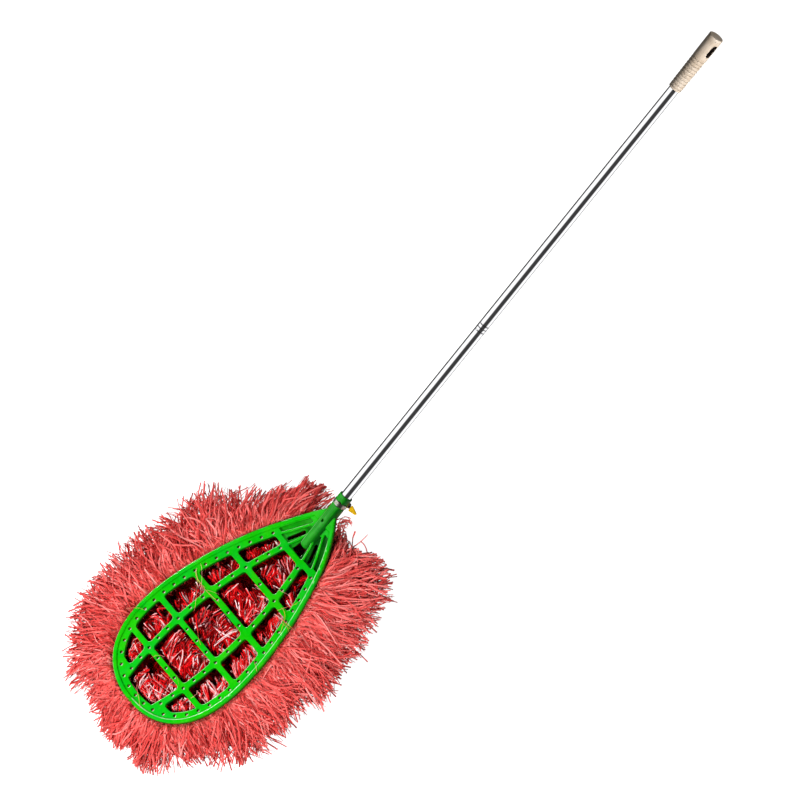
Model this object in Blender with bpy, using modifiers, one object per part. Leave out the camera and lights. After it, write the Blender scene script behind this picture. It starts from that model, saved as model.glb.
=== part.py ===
"""Street broom: a racket-shaped plastic plate planted with bristle tufts, on a two-section tube handle.

The plate lies level on its bristle tips, the handle rises from its socket towards +Y.
Everything is modelled in the plate's own frame (X across, Y towards the handle, Z up from the
plate's underside) and stood on the ground by one parent empty. Metres, +Z up.
"""

import math

import bmesh
import bpy
from mathutils import Matrix, Vector
from mathutils.geometry import interpolate_bezier

# ---------------------------------------------------------------- driving dimensions
PLATE_HEIGHT = 0.140  # underside of the plate above the ground
PLATE_Y = -0.6234  # plate datum in the row frame, so that the whole broom is centred

# plate outline, right half: toe apex, widest point, heel end
TOE_Y = -0.223
TOE_HANDLE = 0.076
WIDEST = (0.1477, -0.053)
WIDEST_BACK, WIDEST_FORWARD = 0.1296, 0.0919
HEEL_END = (0.014, 0.330)
HEEL_HANDLE, HEEL_ANGLE = 0.1386, math.radians(40)
OUTLINE_STEPS = 18

LIP_TOP = 0.0135  # raised outer lip
LIP_WIDTH = 0.0095
DECK_TOP = 0.0105  # rim band and ribs
DECK_UNDER = 0.0004
RIM_WIDTH = 0.0235
HEEL_FLOOR = 0.0050  # thin web between the heel ribs
HEEL_FOLDS = ((0.245, 0.16), (0.285, 0.16))  # the heel rises towards the socket: line across it, added slope
WINDOW_CORNER = 0.0090

RIB_AXIS_X, RIB_AXIS_Y, RIB_CURVE = 0.0646, -0.030, 0.63  # x = RIB_AXIS_X - RIB_CURVE * (y - RIB_AXIS_Y)^2
RIB_HALF = 0.0062
CROSS_RIBS = ((-0.130, -0.118), (-0.048, -0.036), (0.0356, 0.0486), (0.121, 0.134))
HEEL_WEB_Y = 0.209
HEEL_RIB = 0.0045  # thickness of the four thin heel ribs
HEEL_RIB_OUTER = ((0.0558, 0.222), (0.0120, 0.297))
HEEL_RIB_INNER = ((0.0266, 0.216), (0.0090, 0.267))

# tufts
HOLE_R = 0.0034
HOLE_SIDES = 6
HOLE_INSET = 0.017
RIM_TUFTS_PER_SIDE = 20  # and one at the toe
RIM_LAST_Y = 0.2136
RIB_TUFT_Y = (0.2056, 0.1794, 0.1536, 0.1276, 0.0960, 0.0640, 0.0234, -0.0090, -0.0416, -0.0710, -0.0972, -0.1240, -0.1496, -0.1780)
RIB_SECTIONS = (3, 3, 2, 3, 3)
CROSS_TUFTS = ((0.1275, (0.0,)), (0.0421, (-0.0376, 0.0, 0.0376)), (-0.0420, (-0.0332, 0.0, 0.0332)), (-0.1240, (-0.0288, 0.0, 0.0288)))
ROOT_WIDTH, ROOT_THICK = 0.0042, 0.0030
ROOT_TOP = DECK_TOP - 0.0010
SPREAD_START = -0.004
TUFT_THICK = 0.0018
FAN_REACH_TOE, FAN_REACH_SIDE, FAN_REACH_HEEL, FAN_REACH_LAST = 0.102, 0.144, 0.156, 0.124  # how far the upper leg of a rim tuft reaches out
FAN_DROP_TOE, FAN_DROP_SIDE = 0.030, 0.022
HEEL_RAKE, HEEL_RAKE_FROM = math.radians(62), 16.5  # the last tufts fan round towards the handle

# handle
HANDLE_RISE = math.radians(20)
MOUTH = Vector((0.0, 0.376, 0.0446))  # centre of the socket's mouth
SOCKET_R, SOCKET_LENGTH = 0.0145, 0.143
BORE_R, BORE_DEPTH = 0.0118, 0.118
SCREW_HOLE_S, SCREW_HOLE_R = -0.068, 0.0028
BAND_WINDOW = (0.0070, 0.0130)  # openings in the socket wall under the clamp band
BAND_WINDOW_ANGLES = (20, 80, -110, -170)  # degrees from the top towards +X
TUBE_R, TUBE_WALL = 0.0115, 0.0004
LOWER_TUBE = (-0.112, 0.4600)
COLLAR = (0.4603, 0.4615)
UPPER_TUBE = (0.4618, 1.193)
GROOVE_FROM_END = 0.0072
GROOVE = (0.0016, 0.0005)
INSERT_LENGTH, PLUG_LENGTH = 0.046, 0.034
THREAD_R, STUD_LENGTH = 0.0060, 0.026
GRIP = (1.108, 1.248)
GRIP_R = (0.0140, 0.0160)
GRIP_BORE_TOP = 1.196
GRIP_RINGS, GRIP_RING_PITCH, GRIP_RING_DEPTH = 10, 0.0075, 0.0005
SLOT_CENTRE, SLOT_LENGTH, SLOT_WIDTH, SLOT_ANGLE = 1.2185, 0.031, 0.012, 80
ROUND = 24

# hose clamp
CLAMP_S = -0.020
BAND_R, BAND_THICK, BAND_WIDTH = 0.0149, 0.0007, 0.009
SCREW_OFFSET = 0.0215  # screw axis below the handle axis
HOUSING = (0.0145, 0.0112, 0.0095)  # along the screw, along the handle, radially
WORM_R, WORM_BORE = 0.0034, 0.0038
HEAD_R = 0.0036
KEY_START, KEY_LENGTH, KEY_BASE, KEY_TIP, KEY_THICK = 0.0120, 0.0200, 0.0135, 0.0042, 0.0022

# ---------------------------------------------------------------- scene and helpers
for old in list(bpy.data.objects):
    bpy.data.objects.remove(old, do_unlink=True)

scene = bpy.context.scene
parts = bpy.data.collections.new("street_broom")
cutters = bpy.data.collections.new("cutters")
scene.collection.children.link(parts)
scene.collection.children.link(cutters)


def material(name, rgb, roughness, metallic=0.0):
    made = bpy.data.materials.new(name)
    made.use_nodes = True
    shader = made.node_tree.nodes["Principled BSDF"]
    shader.inputs["Base Color"].default_value = (*rgb, 1.0)
    shader.inputs["Roughness"].default_value = roughness
    shader.inputs["Metallic"].default_value = metallic
    return made


def empty(name, location, rotation=(0, 0, 0), parent=None):
    made = bpy.data.objects.new(name, None)
    made.location = location
    made.rotation_euler = rotation
    made.parent = parent
    parts.objects.link(made)
    return made


def as_part(obj, parent, look):
    for home in list(obj.users_collection):
        home.objects.unlink(obj)
    parts.objects.link(obj)
    obj.parent = parent
    obj.data.materials.clear()
    obj.data.materials.append(look)
    obj.data.shade_smooth()
    obj.data.set_sharp_from_angle(angle=math.radians(35))
    return obj


def as_cutter(obj, parent):
    for home in list(obj.users_collection):
        home.objects.unlink(obj)
    cutters.objects.link(obj)
    obj.parent = parent
    obj.hide_render = True
    obj.display_type = "WIRE"
    return obj


def boolean(obj, other, operation):
    step = obj.modifiers.new(operation.lower() + "_" + other.name, "BOOLEAN")
    step.operation = operation
    step.solver = "EXACT"
    step.object = other
    return step


def folded(obj, folds):
    """Bends the part's finished mesh upwards beyond each line across it, so that every face stays flat."""
    bpy.context.view_layer.update()
    mesh = bpy.data.meshes.new_from_object(obj.evaluated_get(bpy.context.evaluated_depsgraph_get()))
    obj.modifiers.clear()
    work = bmesh.new()
    work.from_mesh(mesh)
    for y, slope in folds:
        bmesh.ops.bisect_plane(work, geom=work.verts[:] + work.edges[:] + work.faces[:], dist=1e-7, plane_co=(0, y, 0), plane_no=(0, 1, 0))
    for v in work.verts:
        v.co.z += sum(slope * max(0.0, v.co.y - y) for y, slope in folds)
    work.to_mesh(mesh)
    work.free()
    obj.data = mesh


def mesh_object(name, mesh):
    made = bpy.data.objects.new(name, mesh)
    scene.collection.objects.link(made)
    return made


def prism(name, loops, low, high):
    """A flat outline, holes and all, extruded from low to high along local Z."""
    curve = bpy.data.curves.new(name, "CURVE")
    curve.dimensions = "2D"
    curve.fill_mode = "BOTH"
    curve.extrude = (high - low) / 2
    for loop in loops:
        spline = curve.splines.new("POLY")
        spline.points.add(len(loop) - 1)
        for point, (x, y) in zip(spline.points, loop):
            point.co = (x, y, 0, 1)
        spline.use_cyclic_u = True
    drawn = bpy.data.objects.new(name, curve)
    scene.collection.objects.link(drawn)
    bpy.context.view_layer.update()
    mesh = bpy.data.meshes.new_from_object(drawn.evaluated_get(bpy.context.evaluated_depsgraph_get()))
    bpy.data.objects.remove(drawn, do_unlink=True)
    mesh.transform(Matrix.Translation((0, 0, (low + high) / 2)))
    work = bmesh.new()
    work.from_mesh(mesh)
    bmesh.ops.remove_doubles(work, verts=work.verts, dist=1e-6)
    bmesh.ops.recalc_face_normals(work, faces=work.faces)
    work.to_mesh(mesh)
    work.free()
    mesh.name = name
    return mesh_object(name, mesh)


def turned(name, profile, closed=True, segments=ROUND):
    """A profile (radius, height), run down its outer side, turned about local Z."""
    mesh = bpy.data.meshes.new(name)
    points = [(r, 0, h) for r, h in profile]
    edges = [(i, i + 1) for i in range(len(points) - 1)]
    if closed:
        edges.append((len(points) - 1, 0))
    mesh.from_pydata(points, edges, [])
    made = mesh_object(name, mesh)
    spin = made.modifiers.new("turn", "SCREW")
    spin.axis = "Z"
    spin.angle = math.tau
    spin.steps = spin.render_steps = segments
    spin.use_merge_vertices = True
    spin.merge_threshold = 1e-5
    spin.use_normal_calculate = False
    return made


def cylinder(name, radius, low, high, segments=ROUND):
    bpy.ops.mesh.primitive_cylinder_add(vertices=segments, radius=radius, depth=high - low, location=(0, 0, (low + high) / 2))
    made = bpy.context.active_object
    made.name = name
    made.data.transform(made.matrix_world)
    made.matrix_world = Matrix.Identity(4)
    return made


def block(name, size, centre=(0, 0, 0)):
    bpy.ops.mesh.primitive_cube_add(size=1)
    made = bpy.context.active_object
    made.name = name
    made.data.transform(Matrix.Translation(centre) @ Matrix.Diagonal((*size, 1)))
    return made


# ---------------------------------------------------------------- plate outline
def right_half():
    """Dense points along the right half of the outline, from the toe's apex to the heel end."""
    wide = Vector((*WIDEST, 0))
    heel = Vector((*HEEL_END, 0))
    away = Vector((-math.sin(HEEL_ANGLE), math.cos(HEEL_ANGLE), 0))
    toe = Vector((0, TOE_Y, 0))
    first = interpolate_bezier(toe, toe + Vector((TOE_HANDLE, 0, 0)), wide - Vector((0, WIDEST_BACK, 0)), wide, 120)
    second = interpolate_bezier(wide, wide + Vector((0, WIDEST_FORWARD, 0)), heel - HEEL_HANDLE * away, heel, 160)
    return [Vector((p.x, p.y)) for p in first + second[1:]]


DENSE = right_half()


def inset(distance):
    """The right half moved inwards by distance, square to itself."""
    moved = []
    last = len(DENSE) - 1
    for i, p in enumerate(DENSE):
        along = (DENSE[min(i + 1, last)] - DENSE[max(i - 1, 0)]).normalized()
        if i == 0:
            along = Vector((1, 0))
        moved.append(p - distance * Vector((along.y, -along.x)))
    return [p for p in moved if p.x >= -1e-9]


def x_at(line, y):
    """Where a half line stands at height y."""
    for a, b in zip(line, line[1:]):
        if a.y <= y <= b.y:
            return a.x + (b.x - a.x) * (y - a.y) / max(b.y - a.y, 1e-12)
    return 0.0


def spaced(line, count):
    """count + 1 points evenly spaced along a line."""
    lengths = [0.0]
    for a, b in zip(line, line[1:]):
        lengths.append(lengths[-1] + (b - a).length)
    found = []
    j = 0
    for k in range(count + 1):
        want = lengths[-1] * k / count
        while j < len(line) - 2 and lengths[j + 1] < want:
            j += 1
        part = (want - lengths[j]) / max(lengths[j + 1] - lengths[j], 1e-12)
        found.append(line[j].lerp(line[j + 1], min(max(part, 0), 1)))
    return found


def cut_line(line, low, high):
    """The part of a half line between two heights, with its ends exactly there."""
    inner = [p for p in line if low < p.y < high]
    ends = [Vector((x_at(line, low), low))] if low > line[0].y else [line[0]]
    return ends + [p for p in inner if (p - ends[0]).length > 1e-9] + [Vector((x_at(line, high), high))]


def mirrored_loop(half):
    """A closed loop from a right half that starts at the toe on the axis."""
    left = [(-p.x, p.y) for p in reversed(half) if p.x > 1e-7]
    return [(p.x, p.y) for p in half] + left


def rounded(points, radius, steps=3):
    """A closed polygon with its sharp corners rounded; gentle ones are left alone."""
    made = []
    count = len(points)
    for i in range(count):
        here, before, after = Vector(points[i]), Vector(points[i - 1]), Vector(points[(i + 1) % count])
        to_before, to_after = before - here, after - here
        if to_before.length < 1e-9 or to_after.length < 1e-9:
            made.append(tuple(here))
            continue
        angle = to_before.angle(to_after)
        if angle > math.radians(150):
            made.append(tuple(here))
            continue
        back = min(radius / math.tan(angle / 2), to_before.length * 0.45, to_after.length * 0.45)
        start, end = here + to_before.normalized() * back, here + to_after.normalized() * back
        for k in range(steps):
            t = k / (steps - 1)
            made.append(tuple(start.lerp(here, t).lerp(here.lerp(end, t), t)))
    return made


def rib_x(y):
    return RIB_AXIS_X - RIB_CURVE * (y - RIB_AXIS_Y) ** 2


RIM_EDGE = inset(RIM_WIDTH)


def side_window(low, high):
    """Between a long rib and the rim."""
    rib = [Vector((rib_x(y) + RIB_HALF, y)) for y in [low + (high - low) * k / 3 for k in range(4)]]
    rim = spaced(cut_line(RIM_EDGE, low, high), 3)
    return rounded([tuple(p) for p in rib] + [tuple(p) for p in reversed(rim)], WINDOW_CORNER)


def middle_window(low, high):
    rib = [Vector((rib_x(y) - RIB_HALF, y)) for y in [low + (high - low) * k / 3 for k in range(4)]]
    return rounded([tuple(p) for p in rib] + [(-p.x, p.y) for p in reversed(rib)], WINDOW_CORNER)


def mirror_x(loop):
    return [(-x, y) for x, y in reversed(loop)]


windows = []
bays = [(a[1], b[0]) for a, b in zip(CROSS_RIBS, CROSS_RIBS[1:])]
for low, high in bays:
    windows += [side_window(low, high), mirror_x(side_window(low, high)), middle_window(low, high)]
low, high = CROSS_RIBS[-1][1], HEEL_WEB_Y
windows += [side_window(low, high + 0.004), mirror_x(side_window(low, high + 0.004)), middle_window(low, high)]

# toe bay: a rounded middle window and a tapering one on each side
top = CROSS_RIBS[0][0]
rib_low = -0.176
toe_middle = [p for p in RIM_EDGE if p.x <= rib_x(rib_low) - RIB_HALF - 0.004 and p.y < top]
toe_half = spaced(toe_middle, 6) + [Vector((rib_x(y) - RIB_HALF, y)) for y in (rib_low + 0.012, -0.150, top)]
windows.append(rounded(mirrored_loop(toe_half), WINDOW_CORNER))
tip = Vector((rib_x(-0.180) + RIB_HALF + 0.002, -0.1765))
toe_side = [tip] + spaced([p for p in RIM_EDGE if p.y > tip.y + 0.002 and p.y < top and p.x > tip.x + 0.006] + [Vector((x_at(RIM_EDGE, top), top))], 4)
toe_side += [Vector((rib_x(y) + RIB_HALF, y)) for y in (top, -0.152)]
toe_side = rounded([tuple(p) for p in toe_side], WINDOW_CORNER)
windows += [toe_side, mirror_x(toe_side)]


def stadium(start, end, width, steps=5):
    """A slot outline between two centre points."""
    start, end = Vector(start), Vector(end)
    along = (end - start).normalized()
    side = Vector((-along.y, along.x))
    made = []
    for centre, turn in ((end, -1), (start, 1)):
        for k in range(steps):
            angle = math.pi * k / (steps - 1)
            made.append(tuple(centre + turn * (side * math.cos(angle) - along * math.sin(angle)) * width / 2))
    return made


heel_slot = stadium((0.0345, 0.231), (0.0205, 0.262), 0.0085)
heel_middle = rounded([(0.0135, 0.2225), (0.0110, 0.2460), (-0.0110, 0.2460), (-0.0135, 0.2225)], 0.004)
windows += [heel_slot, mirror_x(heel_slot), heel_middle]


# ---------------------------------------------------------------- tuft places
def rim_places():
    """(station along the hole line, point, outward direction) on the right half, dense."""
    line = [p for p in inset(HOLE_INSET) if p.y <= RIM_LAST_Y]
    line.append(Vector((x_at(inset(HOLE_INSET), RIM_LAST_Y), RIM_LAST_Y)))
    line[0] = Vector((0, line[0].y))
    return line


HOLE_LINE = rim_places()
HOLE_LENGTHS = [0.0]
for a, b in zip(HOLE_LINE, HOLE_LINE[1:]):
    HOLE_LENGTHS.append(HOLE_LENGTHS[-1] + (b - a).length)
RIM_PITCH = HOLE_LENGTHS[-1] / RIM_TUFTS_PER_SIDE


def rim_at(station):
    """Point, outward direction and splay direction on the hole line; negative stations are on the left half."""
    side = -1 if station < 0 else 1
    want = abs(station)
    over = want - HOLE_LENGTHS[-1]
    if over > 0:
        along = (HOLE_LINE[-1] - HOLE_LINE[-2]).normalized()
        point = HOLE_LINE[-1] + along * over
    else:
        j = max(i for i in range(len(HOLE_LENGTHS) - 1) if HOLE_LENGTHS[i] <= want + 1e-12)
        part = (want - HOLE_LENGTHS[j]) / (HOLE_LENGTHS[j + 1] - HOLE_LENGTHS[j])
        point = HOLE_LINE[j].lerp(HOLE_LINE[j + 1], part)
        along = (HOLE_LINE[j + 1] - HOLE_LINE[j]).normalized()
        if want < 1e-9:
            along = Vector((1, 0))
    out = Vector((along.y, -along.x))
    share = (want / RIM_PITCH - HEEL_RAKE_FROM) / (RIM_TUFTS_PER_SIDE + 0.5 - HEEL_RAKE_FROM)
    rake = HEEL_RAKE * min(max(share, 0), 1) ** 2.2
    splay = Vector((out.x * math.cos(rake) - out.y * math.sin(rake), out.x * math.sin(rake) + out.y * math.cos(rake)))
    return Vector((side * point.x, point.y)), Vector((side * out.x, out.y)), Vector((side * splay.x, splay.y))


rim_points = [rim_at(k * RIM_PITCH)[0] for k in range(-RIM_TUFTS_PER_SIDE, RIM_TUFTS_PER_SIDE + 1)]
rib_points = [Vector((side * rib_x(y), y)) for side in (-1, 1) for y in RIB_TUFT_Y]
cross_points = [Vector((x, y)) for y, row in CROSS_TUFTS for x in row]


def hole(point):
    return [(point.x + HOLE_R * math.cos(math.tau * (k + 0.5) / HOLE_SIDES), point.y + HOLE_R * math.sin(math.tau * (k + 0.5) / HOLE_SIDES)) for k in range(HOLE_SIDES)]


holes = [hole(p) for p in rim_points + rib_points + cross_points]

# ---------------------------------------------------------------- materials
GREEN = material("green_polypropylene", (0.028, 0.47, 0.012), 0.28)
RED = material("red_filament", (0.58, 0.075, 0.062), 0.45)
STEEL = material("polished_steel", (0.82, 0.82, 0.84), 0.12, 1.0)
BLACK = material("black_nylon", (0.02, 0.02, 0.022), 0.45)
BEIGE = material("beige_plastic", (0.78, 0.66, 0.53), 0.5)
ZINC = material("zinc_plated_steel", (0.72, 0.73, 0.72), 0.25, 1.0)
YELLOW = material("yellow_plastic", (0.58, 0.33, 0.005), 0.35)

# ---------------------------------------------------------------- frames
broom = empty("broom_frame", (0, PLATE_Y, PLATE_HEIGHT))
handle_axis = empty("handle_axis", MOUTH, (HANDLE_RISE - math.pi / 2, 0, 0), broom)
UP = Vector((0, -math.sin(HANDLE_RISE), math.cos(HANDLE_RISE)))
ALONG = Vector((0, math.cos(HANDLE_RISE), math.sin(HANDLE_RISE)))
# local Z along the clamp's screw, local Y along the handle
turn = Matrix((-UP, ALONG, (1, 0, 0))).transposed().to_euler()
clamp_axis = empty("clamp_axis", MOUTH + CLAMP_S * ALONG - SCREW_OFFSET * UP, turn, broom)

# ---------------------------------------------------------------- plate
lip_outer = mirrored_loop(spaced(DENSE, OUTLINE_STEPS * 2))
deck_outer = mirrored_loop(spaced(cut_line(inset(0.0045), -1, 0.318), OUTLINE_STEPS))
lip_inner = mirrored_loop(spaced(cut_line(inset(LIP_WIDTH), -1, 0.300), OUTLINE_STEPS * 2))

plate = as_part(prism("broom_plate", [deck_outer], DECK_UNDER, DECK_TOP), broom, GREEN)
openings = as_cutter(prism("plate_openings", windows + holes, -0.010, 0.030), broom)
boolean(plate, openings, "DIFFERENCE")


def strip(start, end, width):
    start, end = Vector(start), Vector(end)
    side = (end - start).normalized()
    side = Vector((side.y, -side.x)) * width / 2
    return [start + side, end + side, end - side, start - side]


outer = strip(*HEEL_RIB_OUTER, HEEL_RIB)
inner = strip(*HEEL_RIB_INNER, HEEL_RIB)


def on_line(a, b, y):
    return a.x + (b.x - a.x) * (y - a.y) / (b.y - a.y)


lip_line = inset(LIP_WIDTH + 0.0006)
pocket_lip = [(on_line(outer[0], outer[1], y), y) for y in (0.229, 0.291)] + [(x_at(lip_line, y), y) for y in (0.291, 0.260, 0.229)]
pocket_slot = [(on_line(inner[0], inner[1], y), y) for y in (0.2245, 0.282)] + [(on_line(outer[3], outer[2], y), y) for y in (0.282, 0.2245)]
pocket_mid = [(on_line(inner[3], inner[2], 0.2215), 0.2215), (on_line(inner[3], inner[2], 0.262), 0.262)]
pocket_mid = pocket_mid + [(-x, y) for x, y in reversed(pocket_mid)]
pocket_loops = [rounded(p, 0.0015, 2) for p in (pocket_lip, pocket_slot)]
pocket_loops += [mirror_x(p) for p in pocket_loops] + [pocket_mid]
pockets = as_cutter(prism("heel_pockets", pocket_loops, HEEL_FLOOR, 0.030), broom)
boolean(plate, pockets, "DIFFERENCE")

lip = as_cutter(prism("plate_lip", [lip_outer, lip_inner], 0.0, LIP_TOP), broom)
boolean(plate, lip, "UNION")
folded(plate, HEEL_FOLDS)

socket_profile = [(0, 0.0), (SOCKET_R, 0.0), (SOCKET_R, -SOCKET_LENGTH + 0.006), (SOCKET_R * 0.72, -SOCKET_LENGTH), (0, -SOCKET_LENGTH)]
socket = as_cutter(turned("handle_socket", socket_profile, closed=False), handle_axis)
boolean(plate, socket, "UNION")
bore = as_cutter(cylinder("socket_bore", BORE_R, -BORE_DEPTH, 0.020), handle_axis)
boolean(plate, bore, "DIFFERENCE")

screw_hole = cylinder("fixing_screw_hole", SCREW_HOLE_R, 0.006, 0.020, 10)
screw_hole.data.transform(Matrix.Translation((0, 0, SCREW_HOLE_S)) @ Matrix.Rotation(math.pi / 2, 4, "X"))
screw_hole = as_cutter(screw_hole, handle_axis)
boolean(plate, screw_hole, "DIFFERENCE")
for number, angle in enumerate(BAND_WINDOW_ANGLES):
    opening = block("band_window_%d" % (number + 1), (BAND_WINDOW[0], 0.009, BAND_WINDOW[1]), (0, -0.0135, CLAMP_S))
    opening.data.transform(Matrix.Rotation(math.radians(angle), 4, "Z"))
    boolean(plate, as_cutter(opening, handle_axis), "DIFFERENCE")


# ---------------------------------------------------------------- bristle tufts
def comb(name, lines, roots):
    """A row of tufts knitted together below the plate. lines holds one closed section after another
    along the row, each a list of points starting with the two top edge points, and roots the numbers
    of the gaps between lines where a root stands up into its hole."""
    work = bmesh.new()
    rings = [[work.verts.new(p) for p in section] for section in lines]
    size = len(rings[0])
    tops = []
    for number, (one, two) in enumerate(zip(rings, rings[1:])):
        for k in range(size):
            face = work.faces.new((one[k], one[(k + 1) % size], two[(k + 1) % size], two[k]))
            if k == 0 and number in roots:
                tops.append(face)
    work.faces.new(rings[0])
    work.faces.new(list(reversed(rings[-1])))
    bmesh.ops.recalc_face_normals(work, faces=work.faces)
    raised = bmesh.ops.extrude_discrete_faces(work, faces=tops)["faces"]
    for face in raised:
        for vert in face.verts:
            vert.co.z = ROOT_TOP
    bmesh.ops.recalc_face_normals(work, faces=work.faces)
    mesh = bpy.data.meshes.new(name)
    work.to_mesh(mesh)
    work.free()
    return as_part(mesh_object(name, mesh), broom, RED)


def rim_section(station):
    """Section of a folded rim tuft: one leg fans out past the rim, the other stands on the ground."""
    point, out, splay = rim_at(station)
    side = abs(out.x) ** 2.5 if point.y < 0 else 1
    heel = min(max((point.y - 0.030) / 0.060, 0), 1)
    last = min(max((point.y - 0.120) / 0.100, 0), 1)
    reach = FAN_REACH_TOE + (FAN_REACH_SIDE - FAN_REACH_TOE) * side + (FAN_REACH_HEEL - FAN_REACH_SIDE) * heel + (FAN_REACH_LAST - FAN_REACH_HEEL) * last
    drop = FAN_DROP_TOE + (FAN_DROP_SIDE - FAN_DROP_TOE) * side
    lean = 0.024 + 0.070 * min(max((point.y - 0.120) / 0.094, 0), 1)
    half, floor = TUFT_THICK / 2, -PLATE_HEIGHT
    flat = [
        (-ROOT_THICK / 2, SPREAD_START),
        (ROOT_THICK / 2, SPREAD_START),
        (reach * 0.38, -0.0115),
        (reach, -drop),
        (reach - 0.001, -drop - TUFT_THICK),
        (reach * 0.38, -0.0115 - TUFT_THICK),
        (0.006, -0.0150),
        (lean * 0.45 + half, -0.070),
        (lean + half, floor),
        (lean - half, floor),
        (lean * 0.45 - half, -0.070),
    ]
    ways = [out, out] + [splay] * (len(flat) - 2)
    return [(point.x + way.x * n, point.y + way.y * n, z) for way, (n, z) in zip(ways, flat)]


def rim_comb(name, first, last):
    stations = [(first - 0.5) * RIM_PITCH + 0.0006]
    for k in range(first, last + 1):
        stations += [k * RIM_PITCH - ROOT_WIDTH / 2, k * RIM_PITCH + ROOT_WIDTH / 2]
    stations.append((last + 0.5) * RIM_PITCH - 0.0006)
    roots = [1 + 2 * i for i in range(last - first + 1)]
    return comb(name, [rim_section(s) for s in stations], roots)


rim_comb("rim_tufts_toe", -2, 2)
for number in range(RIM_TUFTS_PER_SIDE // 3):
    first = 3 + 3 * number
    rim_comb("rim_tufts_right_%d" % (number + 1), first, first + 2)
    rim_comb("rim_tufts_left_%d" % (number + 1), -first - 2, -first)


def standing_section(point, across, lean, wide=TUFT_THICK):
    """Section of a tuft that stands on the ground: across is the direction of its thickness."""
    half, floor = wide / 2, -PLATE_HEIGHT
    flat = [
        (-ROOT_THICK / 2, SPREAD_START),
        (ROOT_THICK / 2, SPREAD_START),
        (lean * 0.45 + half + 0.0006, -0.070),
        (lean + half + 0.0010, floor),
        (lean - half - 0.0010, floor),
        (lean * 0.45 - half - 0.0006, -0.070),
    ]
    return [(point.x + across.x * n, point.y + across.y * n, z) for n, z in flat]


start = 0
for number, count in enumerate(RIB_SECTIONS):
    ys = RIB_TUFT_Y[start : start + count]
    start += count
    for side, word in ((-1, "left"), (1, "right")):
        cuts = [ys[0] + 0.0100]
        for y in ys:
            cuts += [y + ROOT_WIDTH / 2, y - ROOT_WIDTH / 2]
        cuts.append(ys[-1] - 0.0100)
        lines = [standing_section(Vector((side * rib_x(y), y)), Vector((side, 0)), 0.010) for y in cuts]
        comb("rib_tufts_%s_%d" % (word, number + 1), lines, [1 + 2 * i for i in range(count)])

for row, (y, xs) in enumerate(CROSS_TUFTS):
    for column, x in enumerate(xs):
        name = "cross_tuft_%d" % (row + 1) + ("" if len(xs) == 1 else "_" + "abc"[column])
        lean = x * 0.16
        lines = []
        for d, spread in ((-0.0045, -0.006), (-ROOT_WIDTH / 2, -0.003), (ROOT_WIDTH / 2, 0.003), (0.0045, 0.006)):
            section = standing_section(Vector((x + d, y)), Vector((0, -1)), 0.006, 0.0036)
            share = [0, 0, 0.45, 1, 1, 0.45]
            lines.append([(px + (lean + spread) * s, py, pz) for (px, py, pz), s in zip(section, share)])
        comb(name, lines, [1])


# ---------------------------------------------------------------- handle tubes
def tube_profile(low, high, groove_at):
    inner_r = TUBE_R - TUBE_WALL
    half, depth = GROOVE[0] / 2, GROOVE[1]
    outside = [(TUBE_R, high)]
    outside += [(TUBE_R, groove_at + half), (TUBE_R - depth, groove_at + half * 0.3), (TUBE_R - depth, groove_at - half * 0.3), (TUBE_R, groove_at - half)]
    outside += [(TUBE_R, low)]
    inside = [(inner_r, low)]
    inside += [(inner_r, groove_at - half), (inner_r - depth, groove_at - half * 0.3), (inner_r - depth, groove_at + half * 0.3), (inner_r, groove_at + half)]
    inside += [(inner_r, high)]
    return outside + inside


lower_tube = as_part(turned("lower_tube", tube_profile(*LOWER_TUBE, LOWER_TUBE[1] - GROOVE_FROM_END)), handle_axis, STEEL)
boolean(lower_tube, screw_hole, "DIFFERENCE")
as_part(turned("upper_tube", tube_profile(*UPPER_TUBE, UPPER_TUBE[0] + GROOVE_FROM_END)), handle_axis, STEEL)

inner_r = TUBE_R - TUBE_WALL - 0.0003
neck_r = inner_r - GROOVE[1]


def necked(low, high, neck):
    """Outer side of a plug that a rolled groove in the tube holds, top to bottom."""
    return [(inner_r, high), (inner_r, neck + 0.0015), (neck_r, neck + 0.0010), (neck_r, neck - 0.0010), (inner_r, neck - 0.0015), (inner_r, low)]


top = LOWER_TUBE[1] - 0.0003
bore_r = THREAD_R + 0.0004
insert = necked(top - INSERT_LENGTH, top, LOWER_TUBE[1] - GROOVE_FROM_END)
insert += [(0, top - INSERT_LENGTH), (0, top - STUD_LENGTH - 0.003), (bore_r, top - STUD_LENGTH - 0.003), (bore_r, top)]
as_part(turned("joint_socket_insert", insert), handle_axis, BLACK)

as_part(
    turned("joint_collar", [(TUBE_R + 0.0002, COLLAR[1]), (TUBE_R + 0.0002, COLLAR[0]), (THREAD_R + 0.0006, COLLAR[0]), (THREAD_R + 0.0006, COLLAR[1])]),
    handle_axis,
    BLACK,
)

low = UPPER_TUBE[0] + 0.0003
plug = [(0, low + PLUG_LENGTH)] + necked(low, low + PLUG_LENGTH, UPPER_TUBE[0] + GROOVE_FROM_END)
plug += [(THREAD_R, low), (THREAD_R, LOWER_TUBE[1] - STUD_LENGTH), (THREAD_R - 0.001, LOWER_TUBE[1] - STUD_LENGTH - 0.001), (0, LOWER_TUBE[1] - STUD_LENGTH - 0.001)]
as_part(turned("joint_threaded_plug", plug, closed=False), handle_axis, BLACK)

foot = LOWER_TUBE[0]
foot_plug = [(0, foot + 0.030), (inner_r - 0.002, foot + 0.030), (inner_r, foot + 0.026), (inner_r, foot - 0.0003), (TUBE_R, foot - 0.0003), (TUBE_R - 0.0015, foot - 0.0035), (0, foot - 0.0035)]
as_part(turned("tube_foot_plug", foot_plug, closed=False), handle_axis, BLACK)

# ---------------------------------------------------------------- grip
length = GRIP[1] - GRIP[0]


def grip_r(s):
    return GRIP_R[0] + (GRIP_R[1] - GRIP_R[0]) * (s - GRIP[0]) / length


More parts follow.
